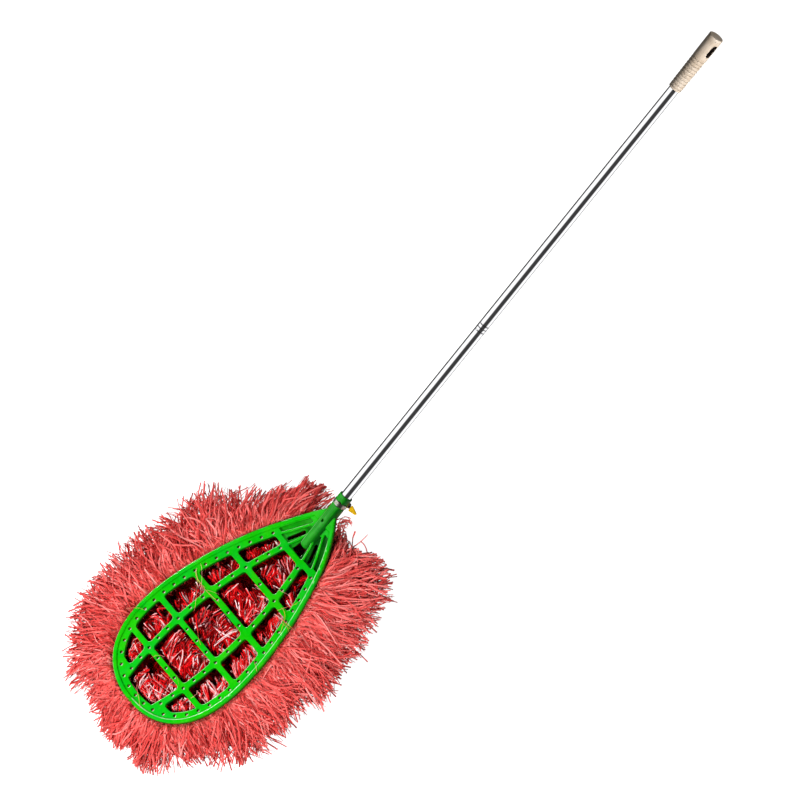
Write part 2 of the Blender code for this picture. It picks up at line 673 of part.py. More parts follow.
ringed = [(grip_r(GRIP[0]) - 0.0006, GRIP[0])]
for ring in range(GRIP_RINGS):
    s = GRIP[0] + 0.004 + GRIP_RING_PITCH * ring
    ringed += [(grip_r(s), s), (grip_r(s) - GRIP_RING_DEPTH, s + GRIP_RING_PITCH * 0.5)]
ringed += [(grip_r(GRIP[0] + 0.004 + GRIP_RING_PITCH * GRIP_RINGS), GRIP[0] + 0.004 + GRIP_RING_PITCH * GRIP_RINGS)]
ringed += [(GRIP_R[1], GRIP[1] - 0.0015), (GRIP_R[1] - 0.0015, GRIP[1])]
hole_r = TUBE_R + 0.0003
grip_profile = [(0, GRIP[1])] + list(reversed(ringed)) + [(hole_r, GRIP[0]), (hole_r, GRIP_BORE_TOP), (0, GRIP_BORE_TOP)]
grip = as_part(turned("grip", grip_profile, closed=False), handle_axis, BEIGE)
half = (SLOT_LENGTH - SLOT_WIDTH) / 2
slot = prism("hang_slot", [stadium((SLOT_CENTRE - half, 0), (SLOT_CENTRE + half, 0), SLOT_WIDTH, 7)], -0.030, 0.030)
# local X of the outline runs along the handle, local Z goes through it
slot.data.transform(Matrix.Rotation(math.radians(SLOT_ANGLE), 4, "Z") @ Matrix(((0, 1, 0, 0), (0, 0, 1, 0), (1, 0, 0, 0), (0, 0, 0, 1))))
boolean(grip, as_cutter(slot, handle_axis), "DIFFERENCE")

# ---------------------------------------------------------------- hose clamp
band = [(BAND_R + BAND_THICK, BAND_WIDTH / 2), (BAND_R + BAND_THICK, -BAND_WIDTH / 2), (BAND_R, -BAND_WIDTH / 2), (BAND_R, BAND_WIDTH / 2)]
band_ring = turned("clamp_band", band, closed=True, segments=32)
band_ring.location = (0, 0, CLAMP_S)
as_part(band_ring, handle_axis, ZINC)

# the housing, the worm and the key stand on the screw's own axis, local Z along the screw
housing = block("clamp_housing", (HOUSING[2], HOUSING[1], HOUSING[0]), (0.0002, 0, 0.0015))
soften = housing.modifiers.new("edges", "BEVEL")
soften.width = 0.0015
soften.segments = 2
soften.limit_method = "ANGLE"
as_part(housing, clamp_axis, ZINC)
worm_way = as_cutter(cylinder("worm_way", WORM_BORE, -0.012, 0.016, 16), clamp_axis)
boolean(housing, worm_way, "DIFFERENCE")
saddle = cylinder("band_saddle", BAND_R + BAND_THICK + 0.0003, -0.02, 0.02, 32)
saddle.data.transform(Matrix.Translation((-SCREW_OFFSET, 0, 0)) @ Matrix.Rotation(math.pi / 2, 4, "X"))
boolean(housing, as_cutter(saddle, clamp_axis), "DIFFERENCE")

worm = [(0, 0.0118), (HEAD_R, 0.0118), (HEAD_R, 0.0092), (WORM_R, 0.0090), (WORM_R, -0.0064), (0.0020, -0.0074), (0, -0.0074)]
as_part(turned("clamp_worm_screw", worm, closed=False, segments=16), clamp_axis, ZINC)

b, t, far = KEY_BASE / 2, KEY_TIP / 2, KEY_START + KEY_LENGTH
key_outline = rounded([(-b, KEY_START + 0.0002), (b, KEY_START + 0.0002), (b, KEY_START + 0.003), (t, far), (-t, far), (-b, KEY_START + 0.003)], 0.0018, 3)
key = prism("clamp_thumb_key", [key_outline], -KEY_THICK / 2, KEY_THICK / 2)
# outline Y along the screw, its width across the handle's direction
key.data.transform(Matrix(((0, 0, 1, 0), (1, 0, 0, 0), (0, 1, 0, 0), (0, 0, 0, 1))))
as_part(key, clamp_axis, YELLOW)

bpy.context.view_layer.update()
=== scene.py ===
import math

import bmesh
import bpy
import numpy as np
from mathutils import Matrix, Vector
from mathutils.geometry import interpolate_bezier


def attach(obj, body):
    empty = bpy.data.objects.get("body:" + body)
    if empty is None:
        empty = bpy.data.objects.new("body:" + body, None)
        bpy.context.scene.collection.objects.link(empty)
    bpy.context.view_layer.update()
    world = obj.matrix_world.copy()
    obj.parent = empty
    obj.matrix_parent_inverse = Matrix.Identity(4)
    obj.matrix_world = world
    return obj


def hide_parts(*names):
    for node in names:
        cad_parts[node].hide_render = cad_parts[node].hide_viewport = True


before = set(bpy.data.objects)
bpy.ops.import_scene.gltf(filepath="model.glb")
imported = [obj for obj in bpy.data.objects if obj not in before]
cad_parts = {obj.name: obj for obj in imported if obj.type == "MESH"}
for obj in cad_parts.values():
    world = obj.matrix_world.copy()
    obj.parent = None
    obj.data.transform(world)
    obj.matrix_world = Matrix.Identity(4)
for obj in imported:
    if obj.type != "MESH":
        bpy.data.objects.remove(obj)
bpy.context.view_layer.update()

# ---------------------------------------------------------------- sizes, as in the CAD part
PLATE_HEIGHT = 0.140
PLATE_Y = -0.6234
TOE_Y, TOE_HANDLE = -0.223, 0.076
WIDEST, WIDEST_BACK, WIDEST_FORWARD = (0.1477, -0.053), 0.1296, 0.0919
HEEL_END, HEEL_HANDLE, HEEL_ANGLE = (0.014, 0.330), 0.1386, math.radians(40)
LIP_TOP, LIP_WIDTH = 0.0135, 0.0095
DECK_TOP, DECK_UNDER = 0.0105, 0.0004
RIM_WIDTH = 0.0235
HEEL_FLOOR = 0.0050
HEEL_FOLDS = ((0.245, 0.16), (0.285, 0.16))
WINDOW_CORNER = 0.0095
RIB_AXIS_X, RIB_AXIS_Y, RIB_CURVE, RIB_HALF = 0.0646, -0.030, 0.63, 0.0062
CROSS_RIBS = ((-0.130, -0.118), (-0.048, -0.036), (0.0356, 0.0486), (0.121, 0.134))
HEEL_WEB_Y = 0.209
HEEL_RIB = 0.0045
HEEL_RIB_OUTER = ((0.0558, 0.222), (0.0120, 0.297))
HEEL_RIB_INNER = ((0.0266, 0.216), (0.0090, 0.267))
HOLE_R, HOLE_INSET = 0.0032, 0.017
RIM_TUFTS_PER_SIDE, RIM_LAST_Y = 20, 0.2136
RIB_TUFT_Y = (0.2056, 0.1794, 0.1536, 0.1276, 0.0960, 0.0640, 0.0234, -0.0090, -0.0416, -0.0710, -0.0972, -0.1240, -0.1496, -0.1780)
CROSS_TUFTS = ((0.1275, (0.0,)), (0.0421, (-0.0376, 0.0, 0.0376)), (-0.0420, (-0.0332, 0.0, 0.0332)), (-0.1240, (-0.0288, 0.0, 0.0288)))

HANDLE_RISE = math.radians(20)
MOUTH = Vector((0.0, 0.376, 0.0446))
SOCKET_R, SOCKET_LENGTH, BORE_R, BORE_DEPTH = 0.0145, 0.143, 0.0118, 0.118
SCREW_HOLE_S, SCREW_HOLE_R = -0.068, 0.0028
BAND_WINDOW, BAND_WINDOW_ANGLES = (0.0070, 0.0130), (20, 80, -110, -170)
TUBE_R, TUBE_WALL = 0.0115, 0.0004
LOWER_TUBE, COLLAR, UPPER_TUBE = (-0.112, 0.4600), (0.4603, 0.4615), (0.4618, 1.193)
GROOVE_FROM_END = 0.0072
GRIP, GRIP_R, GRIP_BORE_TOP = (1.108, 1.248), (0.0140, 0.0160), 1.196
GRIP_RINGS, GRIP_RING_PITCH = 11, 0.0075
SLOT_CENTRE, SLOT_LENGTH, SLOT_WIDTH, SLOT_ANGLE = 1.2185, 0.031, 0.012, 80
CLAMP_S, BAND_R, BAND_THICK, BAND_WIDTH, SCREW_OFFSET = -0.020, 0.0149, 0.0007, 0.009, 0.0215
HOUSING = (0.0145, 0.0112, 0.0095)
WORM_R, HEAD_R = 0.0034, 0.0036
KEY_START, KEY_LENGTH, KEY_BASE, KEY_TIP, KEY_THICK = 0.0120, 0.0200, 0.0135, 0.0042, 0.0022

ALONG = Vector((0, math.cos(HANDLE_RISE), math.sin(HANDLE_RISE)))
UP = Vector((0, -math.sin(HANDLE_RISE), math.cos(HANDLE_RISE)))
BOARD = Matrix.Translation((0, PLATE_Y, PLATE_HEIGHT))
# local Z along the handle, local -Y on its upper side
HANDLE = BOARD @ Matrix.Translation(MOUTH) @ Matrix.Rotation(HANDLE_RISE - math.pi / 2, 4, "X")
# local Z along the clamp's screw, local Y along the handle
CLAMP = BOARD @ Matrix.Translation(MOUTH + CLAMP_S * ALONG - SCREW_OFFSET * UP) @ Matrix((-UP, ALONG, (1, 0, 0))).transposed().to_4x4()

scene = bpy.context.scene
rng = np.random.default_rng(20240611)


# ---------------------------------------------------------------- node helpers
class Look:
    """A Principled material with a small kit for its procedural detail."""

    def __init__(self, name, rough=0.4, metal=0.0, **sockets):
        self.m = bpy.data.materials.new(name)
        self.m.use_nodes = True
        self.t = self.m.node_tree
        self.p = self.t.nodes["Principled BSDF"]
        self.p.inputs["Roughness"].default_value = rough
        self.p.inputs["Metallic"].default_value = metal
        for key, value in sockets.items():
            self.p.inputs[key.replace("_", " ")].default_value = value
        self.coord = self.t.nodes.new("ShaderNodeTexCoord").outputs["Object"]

    def put(self, value, socket):
        if isinstance(value, bpy.types.NodeSocket):
            self.t.links.new(value, socket)
        elif value is not None:
            socket.default_value = value

    def scaled(self, scale):
        n = self.t.nodes.new("ShaderNodeMapping")
        n.inputs["Scale"].default_value = scale
        self.t.links.new(self.coord, n.inputs["Vector"])
        return n.outputs[0]

    def noise(self, scale, detail=3.0, rough=0.55, vector=None, distort=0.0):
        n = self.t.nodes.new("ShaderNodeTexNoise")
        n.inputs["Scale"].default_value = scale
        n.inputs["Detail"].default_value = detail
        n.inputs["Roughness"].default_value = rough
        n.inputs["Distortion"].default_value = distort
        self.t.links.new(vector or self.coord, n.inputs["Vector"])
        return n.outputs[0]

    def ramp(self, value, stops, ease="LINEAR"):
        n = self.t.nodes.new("ShaderNodeValToRGB")
        n.color_ramp.interpolation = ease
        e = n.color_ramp.elements
        while len(e) < len(stops):
            e.new(0.5)
        for k, (at, colour) in zip(e, stops):
            k.position = at
            k.color = (*colour, 1) if isinstance(colour, tuple) else (colour, colour, colour, 1)
        self.t.links.new(value, n.inputs[0])
        return n.outputs[0]

    def math(self, kind, a, b=None, clamp=False):
        n = self.t.nodes.new("ShaderNodeMath")
        n.operation = kind
        n.use_clamp = clamp
        self.put(a, n.inputs[0])
        self.put(b, n.inputs[1])
        return n.outputs[0]

    def mix(self, share, a, b, kind="MIX"):
        n = self.t.nodes.new("ShaderNodeMix")
        n.data_type = "RGBA"
        n.blend_type = kind
        self.put(share, n.inputs[0])
        self.put((*a, 1) if isinstance(a, tuple) else a, n.inputs[6])
        self.put((*b, 1) if isinstance(b, tuple) else b, n.inputs[7])
        return n.outputs[2]

    def attribute(self, name):
        n = self.t.nodes.new("ShaderNodeAttribute")
        n.attribute_name = name
        return n.outputs["Fac"]

    def colour(self, value):
        self.put(value, self.p.inputs["Base Color"])

    def rough(self, value):
        self.put(value, self.p.inputs["Roughness"])

    def bump(self, height, strength, distance, bevel=None):
        n = self.t.nodes.new("ShaderNodeBump")
        n.inputs["Strength"].default_value = strength
        n.inputs["Distance"].default_value = distance
        self.t.links.new(height, n.inputs["Height"])
        self.t.links.new(n.outputs[0], self.p.inputs["Normal"])
        return n


# ---------------------------------------------------------------- materials
def green_plastic():
    k = Look("green_polypropylene", 0.3, Specular_IOR_Level=0.17)
    flow = k.noise(26, 4, 0.6, distort=0.6)
    fine = k.noise(420, 3, 0.6)
    base = k.ramp(flow, [(0.30, (0.001, 0.380, 0.0005)), (0.52, (0.002, 0.445, 0.001)), (0.74, (0.014, 0.500, 0.003))])
    tint = k.noise(17, 3, 0.55, distort=0.9)
    base = k.mix(k.math("MULTIPLY", k.ramp(tint, [(0.50, 0.0), (0.64, 1.0)]), 0.40), base, (0.001, 0.400, 0.022))
    base = k.mix(k.math("MULTIPLY", k.ramp(tint, [(0.36, 1.0), (0.48, 0.0)]), 0.40), base, (0.024, 0.440, 0.001))
    # pale patches: scuffs, and painted sheen on the deck
    scuffs_and_painted_sheen = k.ramp(k.noise(95, 6, 0.72, distort=1.4), [(0.60, 0.0), (0.78, 1.0)])
    base = k.mix(k.math("MULTIPLY", scuffs_and_painted_sheen, 0.22), base, (0.16, 0.66, 0.12))
    dust = k.ramp(k.noise(900, 2, 0.5), [(0.66, 0.0), (0.80, 1.0)])
    base = k.mix(k.math("MULTIPLY", dust, 0.12), base, (0.01, 0.22, 0.01))
    sharp = k.t.nodes.new("ShaderNodeNewGeometry").outputs["Pointiness"]
    worn = k.math("MULTIPLY", k.ramp(sharp, [(0.515, 0.0), (0.56, 1.0)]), k.ramp(flow, [(0.3, 0.10), (0.7, 0.30)]))
    base = k.mix(worn, base, (0.20, 0.62, 0.16))
    # painted highlights: a pale line on the right lip's inner edge, and pale edges facing the plate's left
    painted_lip_highlight = k.math("MULTIPLY", k.attribute("lip_edge"), k.ramp(k.noise(60, 4, 0.7), [(0.32, 0.35), (0.60, 1.0)]))
    base = k.mix(k.math("MULTIPLY", painted_lip_highlight, 0.70), base, (0.52, 0.84, 0.48))
    painted_edge_highlight = k.math("MULTIPLY", k.attribute("edge"), k.ramp(k.noise(48, 4, 0.7), [(0.34, 0.45), (0.60, 1.0)]))
    base = k.mix(k.math("MULTIPLY", painted_edge_highlight, 0.80), base, (0.50, 0.86, 0.46))
    # painted shade: the plate is darker where it is marked, in pockets, down walls, on the socket's right side and in
    # its screw hole
    grime_and_painted_shade = k.math("MULTIPLY", k.math("MULTIPLY", k.attribute("recess"), 1.35, clamp=True), k.ramp(flow, [(0.25, 0.95), (0.75, 0.75)]))
    base = k.mix(grime_and_painted_shade, base, (0.0005, 0.030, 0.003))
    k.colour(base)
    k.rough(k.ramp(k.math("ADD", k.math("MULTIPLY", flow, 0.6), k.math("MULTIPLY", scuffs_and_painted_sheen, 0.5)), [(0.2, 0.10), (0.8, 0.21)]))
    k.bump(k.math("ADD", fine, k.math("MULTIPLY", flow, 1.2)), 0.14, 0.0006)
    return k.m


def filament(name, stops, rough, deep, gloss=0.3):
    """stops: colours from the darkest filament to the palest; deep: the colour of the painted shade near the holes."""
    k = Look(name, rough, Specular_IOR_Level=gloss)
    tone = k.attribute("tone")
    along = k.attribute("along")
    streak = k.noise(1.0, 2, 0.5, vector=k.scaled((260, 260, 260)))
    value = k.math("ADD", tone, k.math("MULTIPLY", k.math("SUBTRACT", streak, 0.5), 0.30), clamp=True)
    base = k.ramp(value, stops)
    # painted shade: towards their roots, under the plate, the filaments are painted darker
    base = k.mix(k.ramp(along, [(0.0, 1.0), (0.13, 0.50), (0.30, 0.0)]), base, deep)
    k.colour(base)
    k.rough(k.ramp(streak, [(0.3, rough - 0.08), (0.7, rough + 0.12)]))
    k.bump(k.noise(1.0, 2, 0.6, vector=k.scaled((900, 900, 900))), 0.25, 0.0004)
    return k.m


def chrome():
    k = Look("chromed_steel", 0.09, 1.0)
    grain = k.noise(1.0, 3, 0.6, vector=k.scaled((900, 40, 900)))
    wear = k.noise(38, 5, 0.7, distort=0.8)
    base = k.ramp(wear, [(0.35, (0.82, 0.82, 0.84)), (0.65, (0.90, 0.90, 0.92))])
    # painted shade: the tube's inside and the bottoms of its grooves are painted dark
    k.colour(k.mix(k.math("MULTIPLY", k.attribute("recess"), k.ramp(grain, [(0.3, 1.0), (0.7, 0.8)])), base, (0.16, 0.16, 0.17)))
    k.rough(k.math("ADD", k.math("MULTIPLY", grain, 0.06), k.math("MULTIPLY", wear, 0.08)))
    k.bump(grain, 0.03, 0.0002)
    return k.m


def plated_steel():
    k = Look("zinc_plated_steel", 0.28, 1.0)
    cloud = k.noise(260, 4, 0.6, distort=1.0)
    brushed = k.noise(1.0, 3, 0.6, vector=k.scaled((90, 2400, 2400)))
    k.colour(k.ramp(cloud, [(0.30, (0.20, 0.19, 0.12)), (0.50, (0.46, 0.45, 0.38)), (0.72, (0.86, 0.86, 0.82))]))
    k.rough(k.ramp(brushed, [(0.3, 0.16), (0.7, 0.42)]))
    k.bump(brushed, 0.12, 0.0002)
    return k.m


def black_plastic():
    k = Look("black_nylon", 0.42)
    mottle = k.noise(210, 4, 0.6)
    k.colour(k.ramp(mottle, [(0.3, (0.010, 0.010, 0.011)), (0.7, (0.030, 0.030, 0.033))]))
    k.rough(k.ramp(mottle, [(0.3, 0.34), (0.7, 0.55)]))
    k.bump(k.noise(1500, 2, 0.5), 0.15, 0.0002)
    return k.m


def beige_plastic():
    k = Look("beige_grip", 0.5, Specular_IOR_Level=0.4)
    cloud = k.noise(42, 4, 0.6, distort=0.5)
    grain = k.noise(1.0, 4, 0.65, vector=k.scaled((700, 260, 700)))
    base = k.ramp(cloud, [(0.30, (0.48, 0.375, 0.27)), (0.55, (0.58, 0.48, 0.38)), (0.75, (0.64, 0.56, 0.47))])
    grime_and_painted_shade = k.ramp(k.noise(120, 6, 0.75, distort=1.2), [(0.58, 0.0), (0.80, 1.0)])
    base = k.mix(k.math("MULTIPLY", grime_and_painted_shade, 0.30), base, (0.30, 0.21, 0.13))
    # painted shade: the slot's inside is painted near black and the ring grooves darker
    base = k.mix(k.math("MULTIPLY", k.attribute("recess"), k.ramp(cloud, [(0.2, 1.0), (0.8, 0.94)])), base, (0.014, 0.003, 0.001))
    k.colour(base)
    k.rough(k.ramp(grain, [(0.3, 0.42), (0.7, 0.64)]))
    k.bump(grain, 0.22, 0.0005)
    return k.m


def yellow_plastic():
    k = Look("yellow_key", 0.33)
    cloud = k.noise(180, 4, 0.6, distort=0.6)
    k.colour(k.ramp(cloud, [(0.3, (0.70, 0.38, 0.002)), (0.7, (0.92, 0.56, 0.010))]))
    k.rough(k.ramp(cloud, [(0.3, 0.26), (0.7, 0.44)]))
    k.bump(k.noise(1200, 3, 0.6), 0.18, 0.0003)
    return k.m


GREEN = green_plastic()
FRINGE = filament(
    "red_filament",
    [(0.0, (0.40, 0.014, 0.012)), (0.28, (0.72, 0.064, 0.058)), (0.58, (0.90, 0.135, 0.122)), (1.0, (0.98, 0.340, 0.315))],
    0.42,
    (0.34, 0.008, 0.006),
)
# its darkest stops paint the shade deep under the plate, its palest the highlights on filaments lit in the windows
INNER = filament(
    "red_filament_inside",
    [(0.0, (0.020, 0.000, 0.000)), (0.22, (0.13, 0.000, 0.001)), (0.42, (0.72, 0.002, 0.004)), (0.66, (0.95, 0.014, 0.018)), (0.82, (1.00, 0.300, 0.310)), (1.0, (1.00, 0.740, 0.750))],
    0.40,
    (0.030, 0.000, 0.0005),
    0.11,
)
CHROME, PLATED, BLACK, BEIGE, YELLOW = chrome(), plated_steel(), black_plastic(), beige_plastic(), yellow_plastic()


# ---------------------------------------------------------------- mesh helpers
def ready(obj, body, look, replaced=(), sharp=40, weighted=True):
    obj.data.materials.clear()
    obj.data.materials.append(look)
    obj.data.shade_smooth()
    obj.data.set_sharp_from_angle(angle=math.radians(sharp))
    if weighted:
        w = obj.modifiers.new("normals", "WEIGHTED_NORMAL")
        w.keep_sharp = True
    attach(obj, body)
    if replaced:
        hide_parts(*replaced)
    return obj


def from_mesh(name, mesh, matrix=None):
    if matrix is not None:
        mesh.transform(matrix)
    made = bpy.data.objects.new(name, mesh)
    scene.collection.objects.link(made)
    return made


def baked(obj):
    """The object's mesh with its modifiers applied."""
    bpy.context.view_layer.update()
    mesh = bpy.data.meshes.new_from_object(obj.evaluated_get(bpy.context.evaluated_depsgraph_get()))
    old = obj.data
    obj.modifiers.clear()
    obj.data = mesh
    if old.users == 0 and isinstance(old, bpy.types.Mesh):
        bpy.data.meshes.remove(old)
    return obj


def area(loop):
    return sum(a[0] * b[1] - b[0] * a[1] for a, b in zip(loop, loop[1:] + loop[:1])) / 2


def slab(name, outlines, holes, low, high, bevel=0.0, steps=2):
    """Flat outlines with holes, extruded from low to high, every edge rounded over."""
    curve = bpy.data.curves.new(name, "CURVE")
    curve.dimensions = "2D"
    curve.fill_mode = "BOTH"
    curve.extrude = (high - low) / 2 - bevel
    curve.bevel_depth = bevel
    curve.bevel_resolution = steps - 1
    curve.offset = -bevel
    for loops, sign in ((outlines, 1), (holes, -1)):
        for loop in loops:
            loop = [tuple(p) for p in loop]
            if area(loop) * sign < 0:
                loop = loop[::-1]
            spline = curve.splines.new("POLY")
            spline.points.add(len(loop) - 1)
            for point, (x, y) in zip(spline.points, loop):
                point.co = (x, y, 0, 1)
            spline.use_cyclic_u = True
    drawn = bpy.data.objects.new(name, curve)
    scene.collection.objects.link(drawn)
    bpy.context.view_layer.update()
    mesh = bpy.data.meshes.new_from_object(drawn.evaluated_get(bpy.context.evaluated_depsgraph_get()))
    bpy.data.objects.remove(drawn, do_unlink=True)
    mesh.transform(Matrix.Translation((0, 0, (low + high) / 2)))
    work = bmesh.new()
    work.from_mesh(mesh)
    bmesh.ops.remove_doubles(work, verts=work.verts, dist=2e-6)
    bmesh.ops.recalc_face_normals(work, faces=work.faces)
    work.to_mesh(mesh)
    work.free()
    return from_mesh(name, mesh)


def turned(name, profile, segments=72, closed=False):
    """A profile (radius, height) turned about local Z; its ends lie on the axis unless it is closed."""
    work = bmesh.new()
    rings = []
    for r, h in profile:
        if r < 1e-7:
            rings.append([work.verts.new((0, 0, h))] * segments)
        else:
            rings.append([work.verts.new((r * math.cos(math.tau * k / segments), r * math.sin(math.tau * k / segments), h)) for k in range(segments)])
    pairs = list(zip(rings, rings[1:]))
    if closed:
        pairs.append((rings[-1], rings[0]))
    for one, two in pairs:
        for k in range(segments):
            j = (k + 1) % segments
            corners = []
            for v in (one[k], two[k], two[j], one[j]):
                if v not in corners:
                    corners.append(v)
            if len(corners) > 2:
                work.faces.new(corners)
    bmesh.ops.recalc_face_normals(work, faces=work.faces)
    mesh = bpy.data.meshes.new(name)
    work.to_mesh(mesh)
    work.free()
    return from_mesh(name, mesh)


def cut(obj, other, operation="DIFFERENCE"):
    step = obj.modifiers.new("cut", "BOOLEAN")
    step.operation = operation
    step.solver = "EXACT"
    step.object = other
    baked(obj)
    bpy.data.objects.remove(other, do_unlink=True)
    return obj


def block(name, size, centre=(0, 0, 0), bevel=0.0, steps=3):
    work = bmesh.new()
    bmesh.ops.create_cube(work, size=1)
    bmesh.ops.transform(work, matrix=Matrix.Translation(centre) @ Matrix.Diagonal((*size, 1)), verts=work.verts)
    if bevel:
        bmesh.ops.bevel(work, geom=work.edges[:], offset=bevel, segments=steps, profile=0.5, affect="EDGES")
    mesh = bpy.data.meshes.new(name)
    work.to_mesh(mesh)
    work.free()
    return from_mesh(name, mesh)


def join(name, objs):
    """One object from several, their meshes side by side."""
    work = bmesh.new()
    for o in objs:
        bpy.context.view_layer.update()
        mesh = bpy.data.meshes.new_from_object(o.evaluated_get(bpy.context.evaluated_depsgraph_get()))
        mesh.transform(o.matrix_world)
        work.from_mesh(mesh)
        bpy.data.meshes.remove(mesh)
        bpy.data.objects.remove(o, do_unlink=True)
    mesh = bpy.data.meshes.new(name)
    work.to_mesh(mesh)
    work.free()
    return from_mesh(name, mesh)


# ---------------------------------------------------------------- plate outline
def right_half():
    wide, heel, toe = Vector((*WIDEST, 0)), Vector((*HEEL_END, 0)), Vector((0, TOE_Y, 0))
    away = Vector((-math.sin(HEEL_ANGLE), math.cos(HEEL_ANGLE), 0))
    first = interpolate_bezier(toe, toe + Vector((TOE_HANDLE, 0, 0)), wide - Vector((0, WIDEST_BACK, 0)), wide, 160)
    second = interpolate_bezier(wide, wide + Vector((0, WIDEST_FORWARD, 0)), heel - HEEL_HANDLE * away, heel, 220)
    return [Vector((p.x, p.y)) for p in first + second[1:]]


DENSE = right_half()


def inset(distance):
    moved, last = [], len(DENSE) - 1
    for i, p in enumerate(DENSE):
        along = (DENSE[min(i + 1, last)] - DENSE[max(i - 1, 0)]).normalized()
        if i == 0:
            along = Vector((1, 0))
        moved.append(p - distance * Vector((along.y, -along.x)))
    return [p for p in moved if p.x >= -1e-9]


def x_at(line, y):
    for a, b in zip(line, line[1:]):
        if a.y <= y <= b.y:
            return a.x + (b.x - a.x) * (y - a.y) / max(b.y - a.y, 1e-12)
    return 0.0


def spaced(line, count):
    lengths = [0.0]
    for a, b in zip(line, line[1:]):
        lengths.append(lengths[-1] + (b - a).length)
    found, j = [], 0
    for k in range(count + 1):
        want = lengths[-1] * k / count
        while j < len(line) - 2 and lengths[j + 1] < want:
            j += 1
        part = (want - lengths[j]) / max(lengths[j + 1] - lengths[j], 1e-12)
        found.append(line[j].lerp(line[j + 1], min(max(part, 0), 1)))
    return found


def cut_line(line, low, high):
    inner = [p for p in line if low < p.y < high]
    ends = [Vector((x_at(line, low), low))] if low > line[0].y else [line[0]]
    return ends + [p for p in inner if (p - ends[0]).length > 1e-9] + [Vector((x_at(line, high), high))]


def mirrored_loop(half):
    return [(p.x, p.y) for p in half] + [(-p.x, p.y) for p in reversed(half) if p.x > 1e-7]


def rounded(points, radius, steps=8):
    made, count = [], len(points)
    for i in range(count):
        here, before, after = Vector(points[i]), Vector(points[i - 1]), Vector(points[(i + 1) % count])
        to_before, to_after = before - here, after - here
        if to_before.length < 1e-9 or to_after.length < 1e-9:
            made.append(tuple(here))
            continue
        angle = to_before.angle(to_after)
        if angle > math.radians(150):
            made.append(tuple(here))
            continue
        back = min(radius / math.tan(angle / 2), to_before.length * 0.48, to_after.length * 0.48)
        start, end = here + to_before.normalized() * back, here + to_after.normalized() * back
        for k in range(steps):
            t = k / (steps - 1)
            made.append(tuple(start.lerp(here, t).lerp(here.lerp(end, t), t)))
    return made


def rib_x(y):
    return RIB_AXIS_X - RIB_CURVE * (y - RIB_AXIS_Y) ** 2


RIM_EDGE = inset(RIM_WIDTH)


def side_window(low, high):
    rib = [Vector((rib_x(y) + RIB_HALF, y)) for y in [low + (high - low) * k / 4 for k in range(5)]]
    rim = spaced(cut_line(RIM_EDGE, low, high), 4)
    return rounded([tuple(p) for p in rib] + [tuple(p) for p in reversed(rim)], WINDOW_CORNER)


def middle_window(low, high):
    rib = [Vector((rib_x(y) - RIB_HALF, y)) for y in [low + (high - low) * k / 4 for k in range(5)]]
    return rounded([tuple(p) for p in rib] + [(-p.x, p.y) for p in reversed(rib)], WINDOW_CORNER)


def mirror_x(loop):
    return [(-x, y) for x, y in reversed(loop)]


windows = []
for low, high in [(a[1], b[0]) for a, b in zip(CROSS_RIBS, CROSS_RIBS[1:])]:
    windows += [side_window(low, high), mirror_x(side_window(low, high)), middle_window(low, high)]
low, high = CROSS_RIBS[-1][1], HEEL_WEB_Y
windows += [side_window(low, high + 0.004), mirror_x(side_window(low, high + 0.004)), middle_window(low, high)]
top = CROSS_RIBS[0][0]
rib_low = -0.176
toe_middle = [p for p in RIM_EDGE if p.x <= rib_x(rib_low) - RIB_HALF - 0.004 and p.y < top]
toe_half = spaced(toe_middle, 14) + [Vector((rib_x(y) - RIB_HALF, y)) for y in (rib_low + 0.012, -0.150, top)]
windows.append(rounded(mirrored_loop(toe_half), WINDOW_CORNER))
tip = Vector((rib_x(-0.180) + RIB_HALF + 0.002, -0.1765))
toe_side = [tip] + spaced([p for p in RIM_EDGE if p.y > tip.y + 0.002 and p.y < top and p.x > tip.x + 0.006] + [Vector((x_at(RIM_EDGE, top), top))], 8)
toe_side += [Vector((rib_x(y) + RIB_HALF, y)) for y in (top, -0.152)]
toe_side = rounded([tuple(p) for p in toe_side], WINDOW_CORNER)
windows += [toe_side, mirror_x(toe_side)]


def stadium(start, end, width, steps=12):
    start, end = Vector(start), Vector(end)
    along = (end - start).normalized()
    side = Vector((-along.y, along.x))
    made = []
    for centre, turn in ((end, -1), (start, 1)):
        for k in range(steps):
            angle = math.pi * k / (steps - 1)
            made.append(tuple(centre + turn * (side * math.cos(angle) - along * math.sin(angle)) * width / 2))
    return made


heel_slot = stadium((0.0345, 0.231), (0.0205, 0.262), 0.0085)
heel_middle = rounded([(0.0135, 0.2225), (0.0110, 0.2460), (-0.0110, 0.2460), (-0.0135, 0.2225)], 0.004)


def strip(start, end, width):
    start, end = Vector(start), Vector(end)
    side = (end - start).normalized()
    side = Vector((side.y, -side.x)) * width / 2
    return [start + side, end + side, end - side, start - side]


def on_line(a, b, y):
    return a.x + (b.x - a.x) * (y - a.y) / (b.y - a.y)


outer, inner = strip(*HEEL_RIB_OUTER, HEEL_RIB), strip(*HEEL_RIB_INNER, HEEL_RIB)
lip_line = inset(LIP_WIDTH + 0.0006)
pocket_lip = [(on_line(outer[0], outer[1], y), y) for y in (0.229, 0.291)] + [(x_at(lip_line, y), y) for y in (0.291, 0.270, 0.250, 0.229)]
pocket_slot = [(on_line(inner[0], inner[1], y), y) for y in (0.2245, 0.282)] + [(on_line(outer[3], outer[2], y), y) for y in (0.282, 0.2245)]
pocket_mid = [(on_line(inner[3], inner[2], 0.2215), 0.2215), (on_line(inner[3], inner[2], 0.262), 0.262)]
pocket_mid = rounded(pocket_mid + [(-x, y) for x, y in reversed(pocket_mid)], 0.003, 4)
pockets = [rounded(p, 0.0022, 5) for p in (pocket_lip, pocket_slot)]
pockets += [mirror_x(p) for p in pockets] + [pocket_mid]

